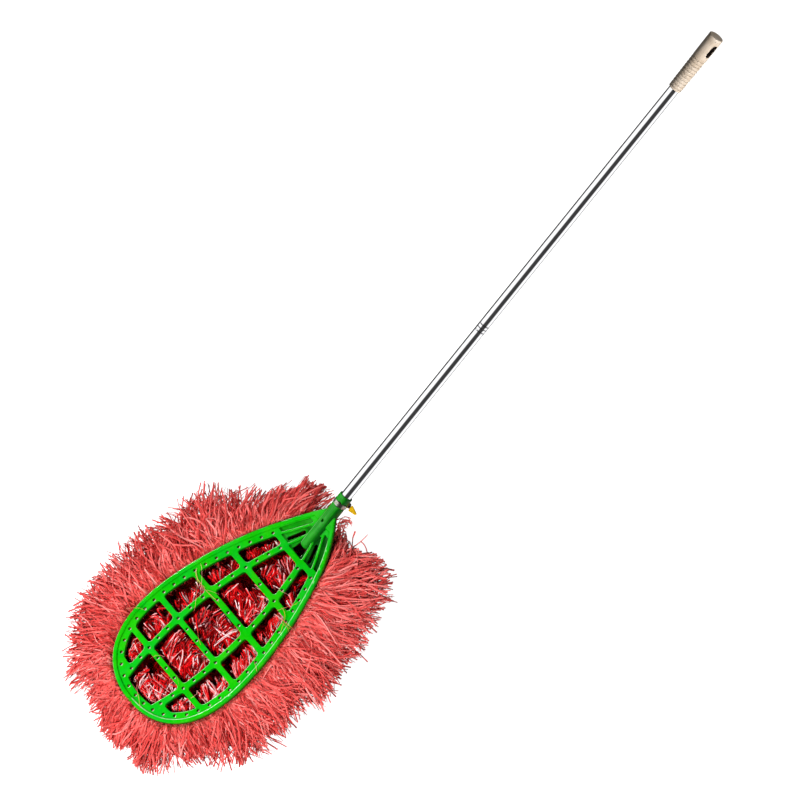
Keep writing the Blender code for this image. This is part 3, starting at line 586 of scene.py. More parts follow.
# ---------------------------------------------------------------- tuft places
HOLE_LINE = [p for p in inset(HOLE_INSET) if p.y <= RIM_LAST_Y]
HOLE_LINE.append(Vector((x_at(inset(HOLE_INSET), RIM_LAST_Y), RIM_LAST_Y)))
HOLE_LINE[0] = Vector((0, HOLE_LINE[0].y))
HOLE_LENGTHS = [0.0]
for a, b in zip(HOLE_LINE, HOLE_LINE[1:]):
    HOLE_LENGTHS.append(HOLE_LENGTHS[-1] + (b - a).length)
RIM_PITCH = HOLE_LENGTHS[-1] / RIM_TUFTS_PER_SIDE


def rim_at(number):
    """Point and outward direction of a rim tuft; negative numbers are on the left half."""
    side = -1 if number < 0 else 1
    want = min(abs(number) * RIM_PITCH, HOLE_LENGTHS[-1])
    j = max(i for i in range(len(HOLE_LENGTHS) - 1) if HOLE_LENGTHS[i] <= want + 1e-12)
    part = (want - HOLE_LENGTHS[j]) / (HOLE_LENGTHS[j + 1] - HOLE_LENGTHS[j])
    point = HOLE_LINE[j].lerp(HOLE_LINE[j + 1], part)
    along = (HOLE_LINE[j + 1] - HOLE_LINE[j]).normalized() if want > 1e-9 else Vector((1, 0))
    return Vector((side * point.x, point.y)), Vector((side * along.y, -along.x))


rim_numbers = list(range(-RIM_TUFTS_PER_SIDE, RIM_TUFTS_PER_SIDE + 1))
rim_points = {k: rim_at(k)[0] for k in rim_numbers}
rib_points = {side: [Vector((side * rib_x(y), y)) for y in RIB_TUFT_Y] for side in (-1, 1)}
cross_points = [Vector((x, y)) for y, row in CROSS_TUFTS for x in row]
all_points = list(rim_points.values()) + rib_points[-1] + rib_points[1] + cross_points


def hole(point, radius=HOLE_R, sides=20):
    return [(point.x + radius * math.cos(math.tau * k / sides), point.y + radius * math.sin(math.tau * k / sides)) for k in range(sides)]


# ---------------------------------------------------------------- plate
def raise_heel(obj):
    """Bends the heel up like the CAD part, its two folds eased into a curve."""
    cuts = np.linspace(0.236, 0.329, 20)
    work = bmesh.new()
    work.from_mesh(obj.data)
    for y in cuts:
        bmesh.ops.bisect_plane(work, geom=work.verts[:] + work.edges[:] + work.faces[:], dist=1e-6, plane_co=(0, y, 0), plane_no=(0, 1, 0))
    ease = 0.009
    for v in work.verts:
        for y, slope in HEEL_FOLDS:
            d = v.co.y - y
            v.co.z += slope * (max(0.0, d) if abs(d) > ease else (d + ease) ** 2 / (4 * ease))
    work.to_mesh(obj.data)
    work.free()
    return obj


def lift(y):
    """How far the folded heel rises at y."""
    return sum(slope * np.clip(y - fold, 0, None) for fold, slope in HEEL_FOLDS)


def mark(mesh, **values):
    for label, value in values.items():
        mesh.attributes.new(label, "FLOAT", "POINT").data.foreach_set("value", np.ascontiguousarray(value, dtype=np.float32))


deck_outer = mirrored_loop(spaced(cut_line(inset(0.0045), -1, 0.318), 90))
deck = slab("deck", [deck_outer], windows + [hole(p) for p in all_points] + pockets, DECK_UNDER, DECK_TOP, 0.0013, 4)
floor_outer = mirrored_loop(cut_line(inset(0.006), 0.213, 0.312)[::4] + [Vector((x_at(inset(0.006), 0.312), 0.312))])
heel_floor = slab("heel_floor", [floor_outer], [heel_slot, mirror_x(heel_slot), heel_middle] + [hole(p) for p in all_points if p.y > 0.2125], DECK_UNDER + 0.0002, HEEL_FLOOR, 0.0006, 2)
lip_outer = mirrored_loop(spaced(DENSE, 120))
lip_inner = mirrored_loop(spaced(cut_line(inset(LIP_WIDTH), -1, 0.300), 120))
lip = slab("lip", [lip_outer], [lip_inner], 0.0, LIP_TOP + 0.0006, 0.0030, 7)

socket_profile = [(BORE_R, -0.0006), (BORE_R + 0.0006, 0.0), (SOCKET_R - 0.0008, 0.0), (SOCKET_R - 0.0002, -0.0003), (SOCKET_R, -0.0010)]
socket_profile += [(SOCKET_R, -SOCKET_LENGTH + 0.009)]
for k in range(1, 7):
    a = math.radians(15 * k)
    socket_profile.append((SOCKET_R * math.cos(a) if k < 6 else 0.0, -SOCKET_LENGTH + 0.009 - 0.009 * math.sin(a)))
socket = turned("socket", [(0, -BORE_DEPTH), (BORE_R, -BORE_DEPTH)] + socket_profile, 96)
screw_hole = turned("screw_hole", [(0, 0.020), (SCREW_HOLE_R, 0.020), (SCREW_HOLE_R, 0.006), (0, 0.006)], 32)
screw_hole.data.transform(Matrix.Translation((0, 0, SCREW_HOLE_S)) @ Matrix.Diagonal((1, 1, 1.5, 1)) @ Matrix.Rotation(math.pi / 2, 4, "X") @ Matrix.Rotation(math.pi / 32, 4, "Z"))
cut(socket, screw_hole)
for angle in BAND_WINDOW_ANGLES:
    opening = block("band_window", (BAND_WINDOW[0], 0.009, BAND_WINDOW[1]), (0, -0.0135, CLAMP_S), 0.0011, 3)
    opening.data.transform(Matrix.Rotation(math.radians(angle), 4, "Z"))
    cut(socket, opening)
socket.data.transform(Matrix.Translation(MOUTH) @ Matrix.Rotation(HANDLE_RISE - math.pi / 2, 4, "X"))

plate = join("plate_moulding", [raise_heel(deck), raise_heel(heel_floor), raise_heel(lip), socket])
spot = np.empty(len(plate.data.vertices) * 3)
plate.data.vertices.foreach_get("co", spot)
spot = spot.reshape(-1, 3)
height = spot[:, 2] - lift(spot[:, 1])
line = np.array([(s * p.x, p.y) for p in DENSE[::3] for s in (-1, 1)])
from_edge = np.sqrt(((spot[:, None, :2] - line[None]) ** 2).sum(-1)).min(axis=1)
# painted highlight: a pale line along the lip's inner top edge, on the plate's right side only
on_lip = (height > LIP_TOP - 0.0015) & (height < LIP_TOP + 0.0008) & (from_edge > LIP_WIDTH - 0.0024) & (from_edge < LIP_WIDTH - 0.0005) & (spot[:, 1] < 0.285)
painted_edge_highlight = on_lip * np.where(spot[:, 0] > 0, 1.0, 0.0)
# painted shade: below the deck top the plate is painted darker, in the pockets and down the walls
low = np.clip((DECK_TOP - 0.0009 - height) / 0.0045, 0, 1)
# the edges on the plate's left side of every bar, and the lip's outer edge there, get a painted highlight: they are
# painted pale
facing = np.empty(len(plate.data.vertices) * 3)
plate.data.vertices.foreach_get("normal", facing)
facing = facing.reshape(-1, 3)
tilt = np.hypot(facing[:, 0], facing[:, 1])
leftward = np.where(tilt > 0.03, np.clip(((-facing[:, 0] - 0.06 * facing[:, 1]) / np.maximum(tilt, 1e-6) - 0.35) / 0.35, 0, 1), 0)
on_deck_edge = (height < DECK_TOP - 0.00006) & (height > DECK_TOP - 0.00125) & (from_edge > LIP_WIDTH + 0.002) & (spot[:, 1] < 0.30)
on_left_floor = (spot[:, 0] < 0.004) & (spot[:, 1] > 0.215) & (np.abs(height - HEEL_FLOOR) < 0.0008) & (facing[:, 2] > 0.2)
on_socket = np.hypot(spot[:, 0], (spot - np.array(MOUTH)) @ np.array(UP)) < SOCKET_R + 0.0006
over_hole = (spot - np.array(MOUTH)) @ np.array(UP)
from_hole = np.hypot(spot[:, 0] / SCREW_HOLE_R, ((spot - np.array(MOUTH)) @ np.array(ALONG) - SCREW_HOLE_S) / (1.5 * SCREW_HOLE_R))
in_screw_hole = (from_hole < 1.08) & (over_hole > 0.004) & (over_hole < SOCKET_R - 0.0012)
on_outer_edge = (from_edge < 0.0016) & (height > LIP_TOP - 0.0030) & (spot[:, 0] < 0)
# the mark paints shade in pockets and walls, less on the heel's left floor, on the socket's right side and black in
# its screw hole; it paints highlights on the right lip's inner edge and on the left-facing edges
mark(plate.data, lip_edge=painted_edge_highlight, edge=leftward * (on_deck_edge * 1.0 + on_outer_edge * 0.9), recess=np.maximum(low * np.where(on_left_floor, 0.30, 1.0), on_socket * np.where(in_screw_hole, 1.0, 0.30 + 0.60 * np.clip(facing[:, 0] - 0.10, 0, 1))))
plate.data.transform(BOARD)
ready(plate, "head", GREEN, ["broom_plate"], 38)


# ---------------------------------------------------------------- bristles
STEPS = 8
T = np.linspace(0, 1, STEPS)
SIDE_LIMIT = 0.2985


def unit(v):
    return v / np.maximum(np.linalg.norm(v, axis=-1, keepdims=True), 1e-12)


def bezier(c0, c1, c2, c3):
    t = T[None, :, None]
    return (1 - t) ** 3 * c0[:, None] + 3 * t * (1 - t) ** 2 * c1[:, None] + 3 * t * t * (1 - t) * c2[:, None] + t**3 * c3[:, None]


def wavy(path, size, gen):
    """Filaments aren't straight: each wanders sideways and up and down by about size metres."""
    count = len(path)
    chord = unit(path[:, -1] - path[:, 0])
    side = unit(np.cross(chord, np.array([0, 0, 1.0]) + 0.01))
    lift = np.cross(side, chord)
    reach = np.clip((T - 0.12) / 0.5, 0, 1)[None, :] ** 1.2
    for axis in (side, lift):
        for turns, share in ((0.6, 1.0), (1.5, 0.5), (2.7, 0.22)):
            amount = gen.normal(0, size * share, count)
            phase = gen.uniform(0, math.tau, count)
            path = path + axis[:, None, :] * (amount[:, None] * reach * np.sin(math.tau * turns * T[None, :] + phase[:, None]))[..., None]
    return path


def strands(name, path, width, tone, look, gen, body="head", replaced=(), thick=0.30, blunt=0.72, bright=None):
    """One mesh of flat, tapering filaments that follow path (count, steps, 3) in the plate's frame."""
    count, steps = path.shape[:2]
    far = np.abs(path[..., 0]).max(axis=1)
    squeeze = np.where(far > SIDE_LIMIT, SIDE_LIMIT / far, 1.0)
    path = path * np.stack([squeeze, np.ones(count), np.ones(count)], axis=-1)[:, None]
    path = path + np.array([0, PLATE_Y, PLATE_HEIGHT])
    path[..., 2] = np.maximum(path[..., 2], 0.0012)
    along = unit(np.gradient(path, axis=1))
    seed = unit(gen.normal(size=(count, 1, 3)))
    side = unit(np.cross(along, seed))
    lift = np.cross(along, side)
    taper = np.interp(T, [0, 0.12, 0.75, 1.0], [0.80, 1.0, 0.95, blunt])[None, :, None]
    w = width[:, None, None] * taper / 2
    corners = np.stack([path - side * w, path + side * w, path + lift * w * 2 * thick], axis=2)
    verts = corners.reshape(-1, 3)
    base = (np.arange(count) * steps * 3)[:, None, None]
    s = (np.arange(steps - 1) * 3)[None, :, None]
    c = np.arange(3)[None, None, :]
    n = (c + 1) % 3
    quads = np.stack([base + s + c, base + s + n, base + s + 3 + n, base + s + 3 + c], axis=-1).reshape(count, -1, 4)
    quad_count = quads.shape[1]
    first = base[:, 0] + np.array([0, 2, 1])[None]
    last = base[:, 0] + (steps - 1) * 3 + np.array([0, 1, 2])[None]
    loops = np.concatenate([quads.reshape(count, -1), first, last], axis=1)
    per = quad_count * 4 + 6
    mesh = bpy.data.meshes.new(name)
    mesh.vertices.add(len(verts))
    mesh.vertices.foreach_set("co", verts.astype(np.float32).ravel())
    mesh.loops.add(loops.size)
    mesh.loops.foreach_set("vertex_index", loops.astype(np.int32).ravel())
    starts = np.concatenate([np.arange(quad_count) * 4, [quad_count * 4, quad_count * 4 + 3]])
    starts = (np.arange(count) * per)[:, None] + starts[None]
    mesh.polygons.add(starts.size)
    mesh.polygons.foreach_set("loop_start", starts.astype(np.int32).ravel())
    mesh.update(calc_edges=True)
    mesh.validate()
    # every filament has a cell of its own in the map: across it the three sides, along it the length
    columns = max(1, int(math.sqrt(count * 4)))
    rows = -(-count // columns)
    cell = np.arange(count)
    u0, v0 = (cell % columns) / columns, (cell // columns) / rows
    side_u = np.broadcast_to(np.stack([c, c + 1, c + 1, c], axis=-1) / 3, (1, steps - 1, 3, 4)).reshape(-1)
    side_v = (np.repeat(np.arange(steps - 1), 12) + np.tile([0, 0, 1, 1], (steps - 1) * 3)) / (steps - 1)
    cap_u, cap_v = np.array([0, 0.5, 1.0, 0, 0.5, 1.0]), np.array([0, 0.02, 0, 1, 0.98, 1])
    uu = np.concatenate([side_u, cap_u])[None] * 0.8 + 0.1
    vv = np.concatenate([side_v, cap_v])[None] * 0.94 + 0.03
    uv = np.stack([u0[:, None] + uu / columns, v0[:, None] + vv / rows], axis=-1)
    layer = mesh.uv_layers.new(name="OFBake")
    layer.data.foreach_set("uv", uv.astype(np.float32).ravel())
    # along darkens the filaments towards their roots, a painted shade; bright scales it, and where bright is 0 a point
    # is painted as deep shade
    rise = np.broadcast_to(T, (count, steps)) * (1 if bright is None else bright)
    for label, values in (("tone", np.repeat(tone, steps * 3)), ("along", np.repeat(rise.ravel(), 3))):
        mesh.attributes.new(label, "FLOAT", "POINT").data.foreach_set("value", values.astype(np.float32))
    mesh.shade_flat()
    obj = from_mesh(name, mesh)
    obj.data.materials.append(look)
    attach(obj, body)
    if replaced:
        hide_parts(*replaced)
    return obj


def polar(angle):
    return np.stack([np.cos(angle), np.sin(angle), np.zeros_like(angle)], axis=-1)


def rooted(point, count, gen):
    """Where the filaments of one tuft stand in their hole."""
    a, r = gen.uniform(0, math.tau, count), 0.0022 * np.sqrt(gen.uniform(0, 1, count))
    return np.stack([point.x + r * np.cos(a), point.y + r * np.sin(a), np.full(count, 0.0045)], axis=-1)


# window outlines as arrays, to know how far inside an opening a point lies
WINDOW_LOOPS = [np.array(loop) for loop in windows]


def inside_depth(points):
    """Distance to the nearest window edge for points in a window, 0 for the others."""
    best = np.zeros(len(points))
    for loop in WINDOW_LOOPS:
        low, high = loop.min(axis=0), loop.max(axis=0)
        near = np.flatnonzero(((points >= low) & (points <= high)).all(axis=1))
        if not len(near):
            continue
        p = points[near]
        a, b = loop, np.roll(loop, -1, axis=0)
        straddle = (a[None, :, 1] > p[:, None, 1]) != (b[None, :, 1] > p[:, None, 1])
        rise = np.where(b[:, 1] == a[:, 1], 1e-12, b[:, 1] - a[:, 1])
        cross = a[None, :, 0] + (p[:, None, 1] - a[None, :, 1]) / rise[None] * (b - a)[None, :, 0]
        inside = (straddle & (p[:, None, 0] < cross)).sum(axis=1) % 2 == 1
        edge = b - a
        t = np.clip(((p[:, None] - a[None]) * edge[None]).sum(-1) / np.maximum((edge**2).sum(-1), 1e-12)[None], 0, 1)
        gap = np.linalg.norm(p[:, None] - (a[None] + t[..., None] * edge[None]), axis=-1).min(axis=1)
        best[near] = np.maximum(best[near], np.where(inside, gap, 0))
    return best


# reach of the outermost filaments past the hole line, by tuft from the toe to the heel
REACH = {
    1: (0.102, 0.101, 0.091, 0.115, 0.066, 0.086, 0.090, 0.075, 0.134, 0.108, 0.118, 0.140, 0.097, 0.098, 0.154, 0.158, 0.118, 0.147, 0.159, 0.163, 0.175),
    -1: (0.102, 0.094, 0.065, 0.098, 0.132, 0.121, 0.148, 0.139, 0.150, 0.113, 0.161, 0.118, 0.127, 0.122, 0.173, 0.162, 0.145, 0.097, 0.082, 0.114, 0.131),
}
RAKE_AT, RAKE = (0, 16.5, 17, 18, 19, 20), {1: (0, 0, 2, 8, 28, 56), -1: (0, 0, 2, 10, 36, 63)}
# outline of the fringe beside the heel, on the right
HEEL_SIDE_X = (-0.010, 0.021, 0.052, 0.079, 0.1135, 0.156, 0.20)
HEEL_SIDE_Y = (0.3245, 0.314, 0.3150, 0.322, 0.3466, 0.3455, 0.335)
# filaments, reach of their tips as a share, spread of the clumps and of the filaments in one (degrees),
# height of the tips as a share of the reach, clumps, tone
# the lower layers' low tones are painted shade under the top layers
RIM_LAYERS = (
    (118, (0.91, 1.01), 19, 13.0, (0.08, 0.30), 10, 0.54),
    (100, (0.50, 0.95), 27, 26.0, (0.02, 0.28), 20, 0.58),
    (58, (0.70, 0.99), 21, 15.0, (0.30, 0.60), 7, 0.36),
    (32, (0.25, 0.80), 26, 9.0, None, 5, 0.20),
    (22, (-0.30, 0.22), 50, 14.0, None, 6, 0.05),
)


def bent(base, angle, gone, tip_z, bow, gen, dive=-0.009, weave=0.005, unruly=0.17, rise=0.003):
    """Filaments from base towards the heading angle, gone metres far, that turn by bow on their way."""
    count = len(base)
    s = T[None]
    ripple = gen.normal(0, unruly, (count, 1)) * np.sin(math.tau * gen.uniform(0.6, 1.3, (count, 1)) * s + gen.uniform(0, math.tau, (count, 1)))
    heading = angle[:, None] + bow[:, None] * (s**1.3 - 0.30) + ripple * np.clip(s * 3, 0, 1)
    step = np.stack([np.cos(heading), np.sin(heading)], axis=-1) * (gone / (STEPS - 1))[:, None, None]
    flat = np.cumsum(step, axis=1) - step[:, :1]
    path = np.zeros((count, STEPS, 3))
    path[..., :2] = base[:, None, :2] + flat
    droop = gen.uniform(0.9, 1.5, (count, 1))
    sink = dive + gen.normal(0, 0.002, (count, 1))
    fall = np.clip(s / 0.16, 0, 1)
    arch = gen.normal(rise, 0.005, (count, 1)) * np.sin(math.pi * s**0.62)
    arch = arch + weave * gen.normal(0, 1, (count, 1)) * np.sin(math.tau * gen.uniform(0.9, 1.8, (count, 1)) * s + gen.uniform(0, math.tau, (count, 1))) * s
    path[..., 2] = base[:, 2:3] * (1 - fall) + sink * fall + (tip_z[:, None] - sink) * np.clip((s - 0.1) / 0.9, 0, 1) ** droop + arch * fall
    return path


EDGE_X, EDGE_Y = np.array([p.x for p in DENSE]), np.array([p.y for p in DENSE])
OPEN_X, OPEN_Y = np.array([p.x for p in RIM_EDGE]), np.array([p.y for p in RIM_EDGE])


def kept_under(path):
    """Lowers what lies under the plate to below its underside, all but the roots."""
    inside = np.abs(path[..., 0]) < np.interp(path[..., 1], EDGE_Y, EDGE_X, left=-1, right=-1) + 0.0005
    inside[:, 0] = False
    limit = np.where(path[..., 1] > 0.216, -0.013, -0.0015)
    limit = np.where(np.abs(path[..., 0]) < np.interp(path[..., 1], OPEN_Y, OPEN_X, left=-1, right=-1) + 0.004, -0.030, limit)
    beside = np.abs(path[..., 0]) - np.interp(path[..., 1], EDGE_Y, EDGE_X, left=-1, right=-1)
    limit = np.where(beside > 0.0005, -0.0010 + np.clip(beside, 0, None) * 0.7, limit)
    near = inside | (beside < 0.014)
    near[:, 0] = False
    path[..., 2] = np.where(near, np.minimum(path[..., 2], limit), path[..., 2])
    return path


def rim_tuft(number, gen):
    point, out = rim_at(number)
    side = -1 if number < 0 else 1
    k = abs(number)
    reach = REACH[side][k]
    rake = math.radians(np.interp(k, RAKE_AT, RAKE[side])) * side
    heading = math.atan2(out.y, out.x) + rake
    last = number == RIM_TUFTS_PER_SIDE
    paths, widths, tones = [], [], []
    for count, far, spread, own, drop, clumps, level in RIM_LAYERS:
        count = int(count * 1.7) if last else count
        base = rooted(point, count, gen)
        narrow = (0.8 if side > 0 else 0.45) if k >= 18 else 1.0
        mids = gen.normal(0, math.radians(spread), clumps) * narrow
        bows = gen.normal(0, 0.55, clumps) * narrow
        pick = gen.integers(0, clumps, count)
        angle = heading + mids[pick] + gen.normal(0, math.radians(own), count)
        gone = reach * gen.uniform(far[0], far[1], clumps)[pick] * gen.normal(1, 0.04, count)
        # a few loose ones lie right across their neighbours
        loose = gen.uniform(size=count) < 0.30
        angle = np.where(loose, heading + gen.normal(0, math.radians(46), count) * narrow, angle)
        gone = np.where(loose & (gone > 0), gone * gen.uniform(0.62, 0.90, count), gone)
        bow = bows[pick] + gen.normal(0, 0.42, count) * narrow
        if drop:
            if last:
                angle = math.radians(80) + (angle - heading) * 2.2
                bow = bow + np.clip((angle - math.radians(80)) * 1.2, 0, 0.6)
            tip_z = -gone * gen.uniform(drop[0], drop[1], count) + gen.normal(0, 0.004, count)
            path = bent(base, angle, gone * 1.10, tip_z, bow, gen, -0.005, 0.005, 0.42, 0.011 if drop[0] < 0.2 else 0.003)
            # a lock holds together towards its tips
            for lock in range(clumps):
                held = (pick == lock) & ~loose
                if held.any():
                    flat = path[held][..., :2]
                    path[held, :, :2] = flat + (flat.mean(axis=0) - flat) * (0.62 * T**2)[None, :, None]
        else:
            tip_z = np.maximum(-np.sqrt(np.maximum(0.150**2 - gone**2, 0.02**2)) + gen.normal(0, 0.006, count), -PLATE_HEIGHT + 0.0015)
            away = polar(angle)
            tip = base + away * gone[:, None]
            tip[:, 2] = tip_z
            c1 = base + away * (gone * 0.05)[:, None]
            c1[:, 2] = -0.010
            c2 = base + away * (gone * 0.66)[:, None]
            c2[:, 2] = tip_z * 0.52 - 0.005
            path = wavy(bezier(base, c1, c2, tip), 0.0024, gen)
        if number >= 15:
            # the fringe's outline beside the heel
            over = np.interp(path[:, -1, 0], HEEL_SIDE_X, HEEL_SIDE_Y) * gen.uniform(0.975, 1.0, count) - point.y
            rises = path[:, -1, 1] - point.y
            shorter = np.where(rises > over, over / np.maximum(rises, 1e-6), 1.0)
            path[..., :2] = base[:, None, :2] + (path[..., :2] - base[:, None, :2]) * shorter[:, None, None]
        paths.append(kept_under(path))
        widths.append(gen.normal(0.0030, 0.0005, count).clip(0.0018, 0.0042))
        # the left side's tufts are painted darker, a painted shade, and those beside the heel paler, a painted light
        shade = level + (-0.11 if side < 0 and k > 3 else -0.03) + (0.10 if k > 15 else 0.0)
        tones.append((gen.normal(shade, 0.20, count) + gen.normal(0, 0.09, clumps)[pick]).clip(0, 1))
    return np.concatenate(paths), np.concatenate(widths), np.concatenate(tones)


# filaments, reach, height of the tips, clumps, tone
# their low tones are painted shade on the filaments under the plate
STANDING_LAYERS = (
    (30, (0.040, 0.105), (-0.115, -0.055), 6, 0.22),
    (36, (0.015, 0.080), (-0.139, -0.118), 7, 0.10),
    (16, (0.000, 0.032), (-0.139, -0.135), 4, 0.06),
)


def standing_tuft(point, gen):
    """The filaments of an inner tuft that reach towards the ground."""
    paths, widths, tones = [], [], []
    for count, far, deep, clumps, level in STANDING_LAYERS:
        base = rooted(point, count, gen)
        mids = gen.uniform(0, math.tau, clumps)
        pick = gen.integers(0, clumps, count)
        away = polar(mids[pick] + gen.normal(0, 0.30, count))
        gone = gen.uniform(far[0], far[1], clumps)[pick] * gen.normal(1, 0.12, count)
        tip = base + away * gone[:, None]
        tip[:, 2] = gen.uniform(deep[0], deep[1], count)
        c1 = base + away * (gone * 0.10)[:, None]
        c1[:, 2] = -0.020
        c2 = base + away * (gone * 0.62)[:, None]
        c2[:, 2] = tip[:, 2] * 0.50
        paths.append(wavy(bezier(base, c1, c2, tip), 0.0030, gen))
        widths.append(gen.normal(0.0030, 0.0004, count).clip(0.0020, 0.0040))
        tones.append((gen.normal(level, 0.10, count)).clip(0, 1))
    path = np.concatenate(paths)
    return path, np.concatenate(widths), np.concatenate(tones), np.ones(path.shape[:2])


def mop(point, gen, count, heading, spread, far, locks=5, pale=0.27):
    """Short filaments in locks that fan out under a window and rise into it, lit from above."""
    base = rooted(point, count, gen)
    pick = np.sort(gen.integers(0, locks, count))
    mids = math.radians(heading) + np.linspace(-1, 1, locks) * math.radians(spread) + gen.normal(0, 0.10, locks)
    level = gen.permutation(np.linspace(-0.007, 0.007, locks))
    gone = gen.uniform(far[0], far[1], locks)[pick] * gen.uniform(0.70, 1.0, count)
    tip_z = level[pick] + gen.normal(0, 0.0016, count)
    bow = gen.normal(0, 0.34, locks)[pick] + gen.normal(0, 0.05, count)
    path = bent(base, mids[pick] + gen.normal(0, 0.105, count), gone, tip_z, bow, gen, -0.010, 0.0008, 0.035)
    flat = path[..., :2]
    depth = inside_depth(flat.reshape(-1, 2)).reshape(path.shape[:2])
    # they stay clear of the left and the toe side of each window, which are in the plate's shade
    clear = depth > 0
    for shift in (np.array([-1.0, 0.0]) * gen.uniform(0.0065, 0.0122, (count, 1, 1)), np.array([0.0, -1.0]) * gen.uniform(0.0045, 0.0100, (count, 1, 1))):
        clear &= inside_depth((flat + shift).reshape(-1, 2)).reshape(path.shape[:2]) > 0
    top = np.where(clear, -0.0022 + np.clip(depth - 0.0030, 0, None) * 0.9, -0.024)
    path[:, 1:, 2] = np.minimum(path[:, 1:, 2], top[:, 1:])
    width = gen.normal(0.0025, 0.0004, count).clip(0.0016, 0.0034)
    # painted highlight: the pale share of the filaments gets the palest tones
    kind = gen.uniform(size=count)
    tone = np.where(kind < pale, gen.normal(0.92, 0.08, count), np.where(kind < pale + 0.42, gen.normal(0.54, 0.08, count), gen.normal(0.15, 0.08, count))).clip(0.02, 1)
    # where a filament is not clear it is painted as deep shade through its along attribute
    return path, width, tone, clear.astype(float)


def mat(point, gen, count, heading=None, far=(0.025, 0.085), deep=(-0.080, -0.020), sink=-0.018):
    """Low filaments, painted dark as shade, that cross under the openings and close the view through them."""
    base = rooted(point, count, gen)
    angle = gen.uniform(0, math.tau, count) if heading is None else math.radians(heading) + gen.normal(0, 0.35, count)
    path = bent(base, angle, gen.uniform(far[0], far[1], count), gen.uniform(deep[0], deep[1], count), gen.normal(0, 0.3, count), gen, sink, 0.003, 0.15)
    path[:, 1:, 2] = np.minimum(path[:, 1:, 2], -0.003)
    return path, gen.normal(0.0036, 0.0004, count).clip(0.0026, 0.0046), gen.normal(0.08, 0.06, count).clip(0, 1), np.full(path.shape[:2], 0.3)


def gather(made):
    return tuple(np.concatenate(part) for part in zip(*made))


groups = [("toe", range(-2, 3), ["rim_tufts_toe"])]
for word, side in (("right", 1), ("left", -1)):
    for part in range(3):
        first = 3 + 6 * part
        numbers = [side * k for k in range(first, first + 6)]
        groups.append(("%s_%d" % (word, part + 1), numbers, ["rim_tufts_%s_%d" % (word, 2 * part + j + 1) for j in range(2)]))
for word, numbers, nodes in groups:
    path, width, tone = gather([rim_tuft(k, rng) for k in numbers])
    strands("rim_bristles_" + word, path, width, tone, FRINGE, rng, replaced=nodes, blunt=0.95)

for word, side in (("right", 1), ("left", -1)):
    made = [standing_tuft(p, rng) for p in rib_points[side]]
    if side > 0:
        made += [mop(p, rng, 156, 148, 56, (0.046, 0.090), 7, 0.18) for p in rib_points[side]]
    else:
        made += [mop(p, rng, 92, 158, 28, (0.030, 0.054), 5, 0.14) for p in rib_points[side]]
        made += [mop(rim_points[k], rng, 66, 84, 30, (0.034, 0.062), 4, 0.18) for k in range(-8, 0)]
    path, width, tone, bright = gather(made)
    strands("rib_bristles_" + word, path, width, tone, INNER, rng, replaced=["rib_tufts_%s_%d" % (word, k) for k in range(1, 6)], bright=bright)
path, width, tone, bright = gather([mop(rim_points[k], rng, 116, 140, 32, (0.037, 0.066), 4, 0.36) for k in range(-4, 18)])
strands("inner_rim_bristles_right", path, width, tone, INNER, rng, bright=bright)
made = [standing_tuft(p, rng) for p in cross_points]
made += [mop(p, rng, 150, 112, 44, (0.042, 0.092), 7, 0.18) for p in cross_points]
path, width, tone, bright = gather(made)
cross_nodes = ["cross_tuft_1"] + ["cross_tuft_%d_%s" % (r, c) for r in (2, 3, 4) for c in "abc"]
strands("cross_bristles", path, width, tone, INNER, rng, replaced=cross_nodes, bright=bright)

made = [mat(p, rng, 34) for p in all_points]
near_heel = [rib_points[side][0] for side in (-1, 1)] + [rim_points[side * k] for side in (-1, 1) for k in (19, 20)]
made += [mat(p, rng, 60, 90, (0.040, 0.105), (-0.040, -0.012), -0.016) for p in near_heel]
path, width, tone, bright = gather(made)
strands("under_bristles", path, width, tone, INNER, rng, bright=bright)


# single filaments that stand away from the fringe beside the heel
WISPS = (
    ((-0.0036, 0.3259), (0.0072, 0.3430), (0.0221, 0.3448)),
    ((-0.0012, 0.3253), (0.0084, 0.3367), (0.0134, 0.3449)),
    ((0.0012, 0.3248), (0.0152, 0.3287), (0.0232, 0.3279)),
    ((0.0534, 0.3124), (0.0409, 0.3356), (0.0399, 0.3390)),
    ((0.0563, 0.3035), (0.0642, 0.3281), (0.0634, 0.3543)),
    ((0.1095, 0.3163), (0.0853, 0.3333), (0.0639, 0.3338)),
    ((0.0182, 0.3183), (0.0341, 0.3181), (0.0380, 0.3177)),
)
path = []
for number, row in enumerate(WISPS):
    for _ in range(9 if number < 3 else 2):
        a, b, c = [np.array(p) + rng.normal(0, 0.0040 if number < 3 else 0.0012, 2) for p in row]
        t = T[:, None]
        flat = (1 - t) ** 2 * a + 2 * t * (1 - t) * (2 * b - (a + c) / 2) + t * t * c
        path.append(np.concatenate([flat, np.interp(t, [0, 0.3, 1], [-0.034, -0.022, -0.020])], axis=1))
path = np.array(path)
strands("loose_filaments", path, np.full(len(path), 0.0022), rng.uniform(0.45, 0.9, len(path)), FRINGE, rng, blunt=0.6, bright=np.full(path.shape[:2], 2.0))


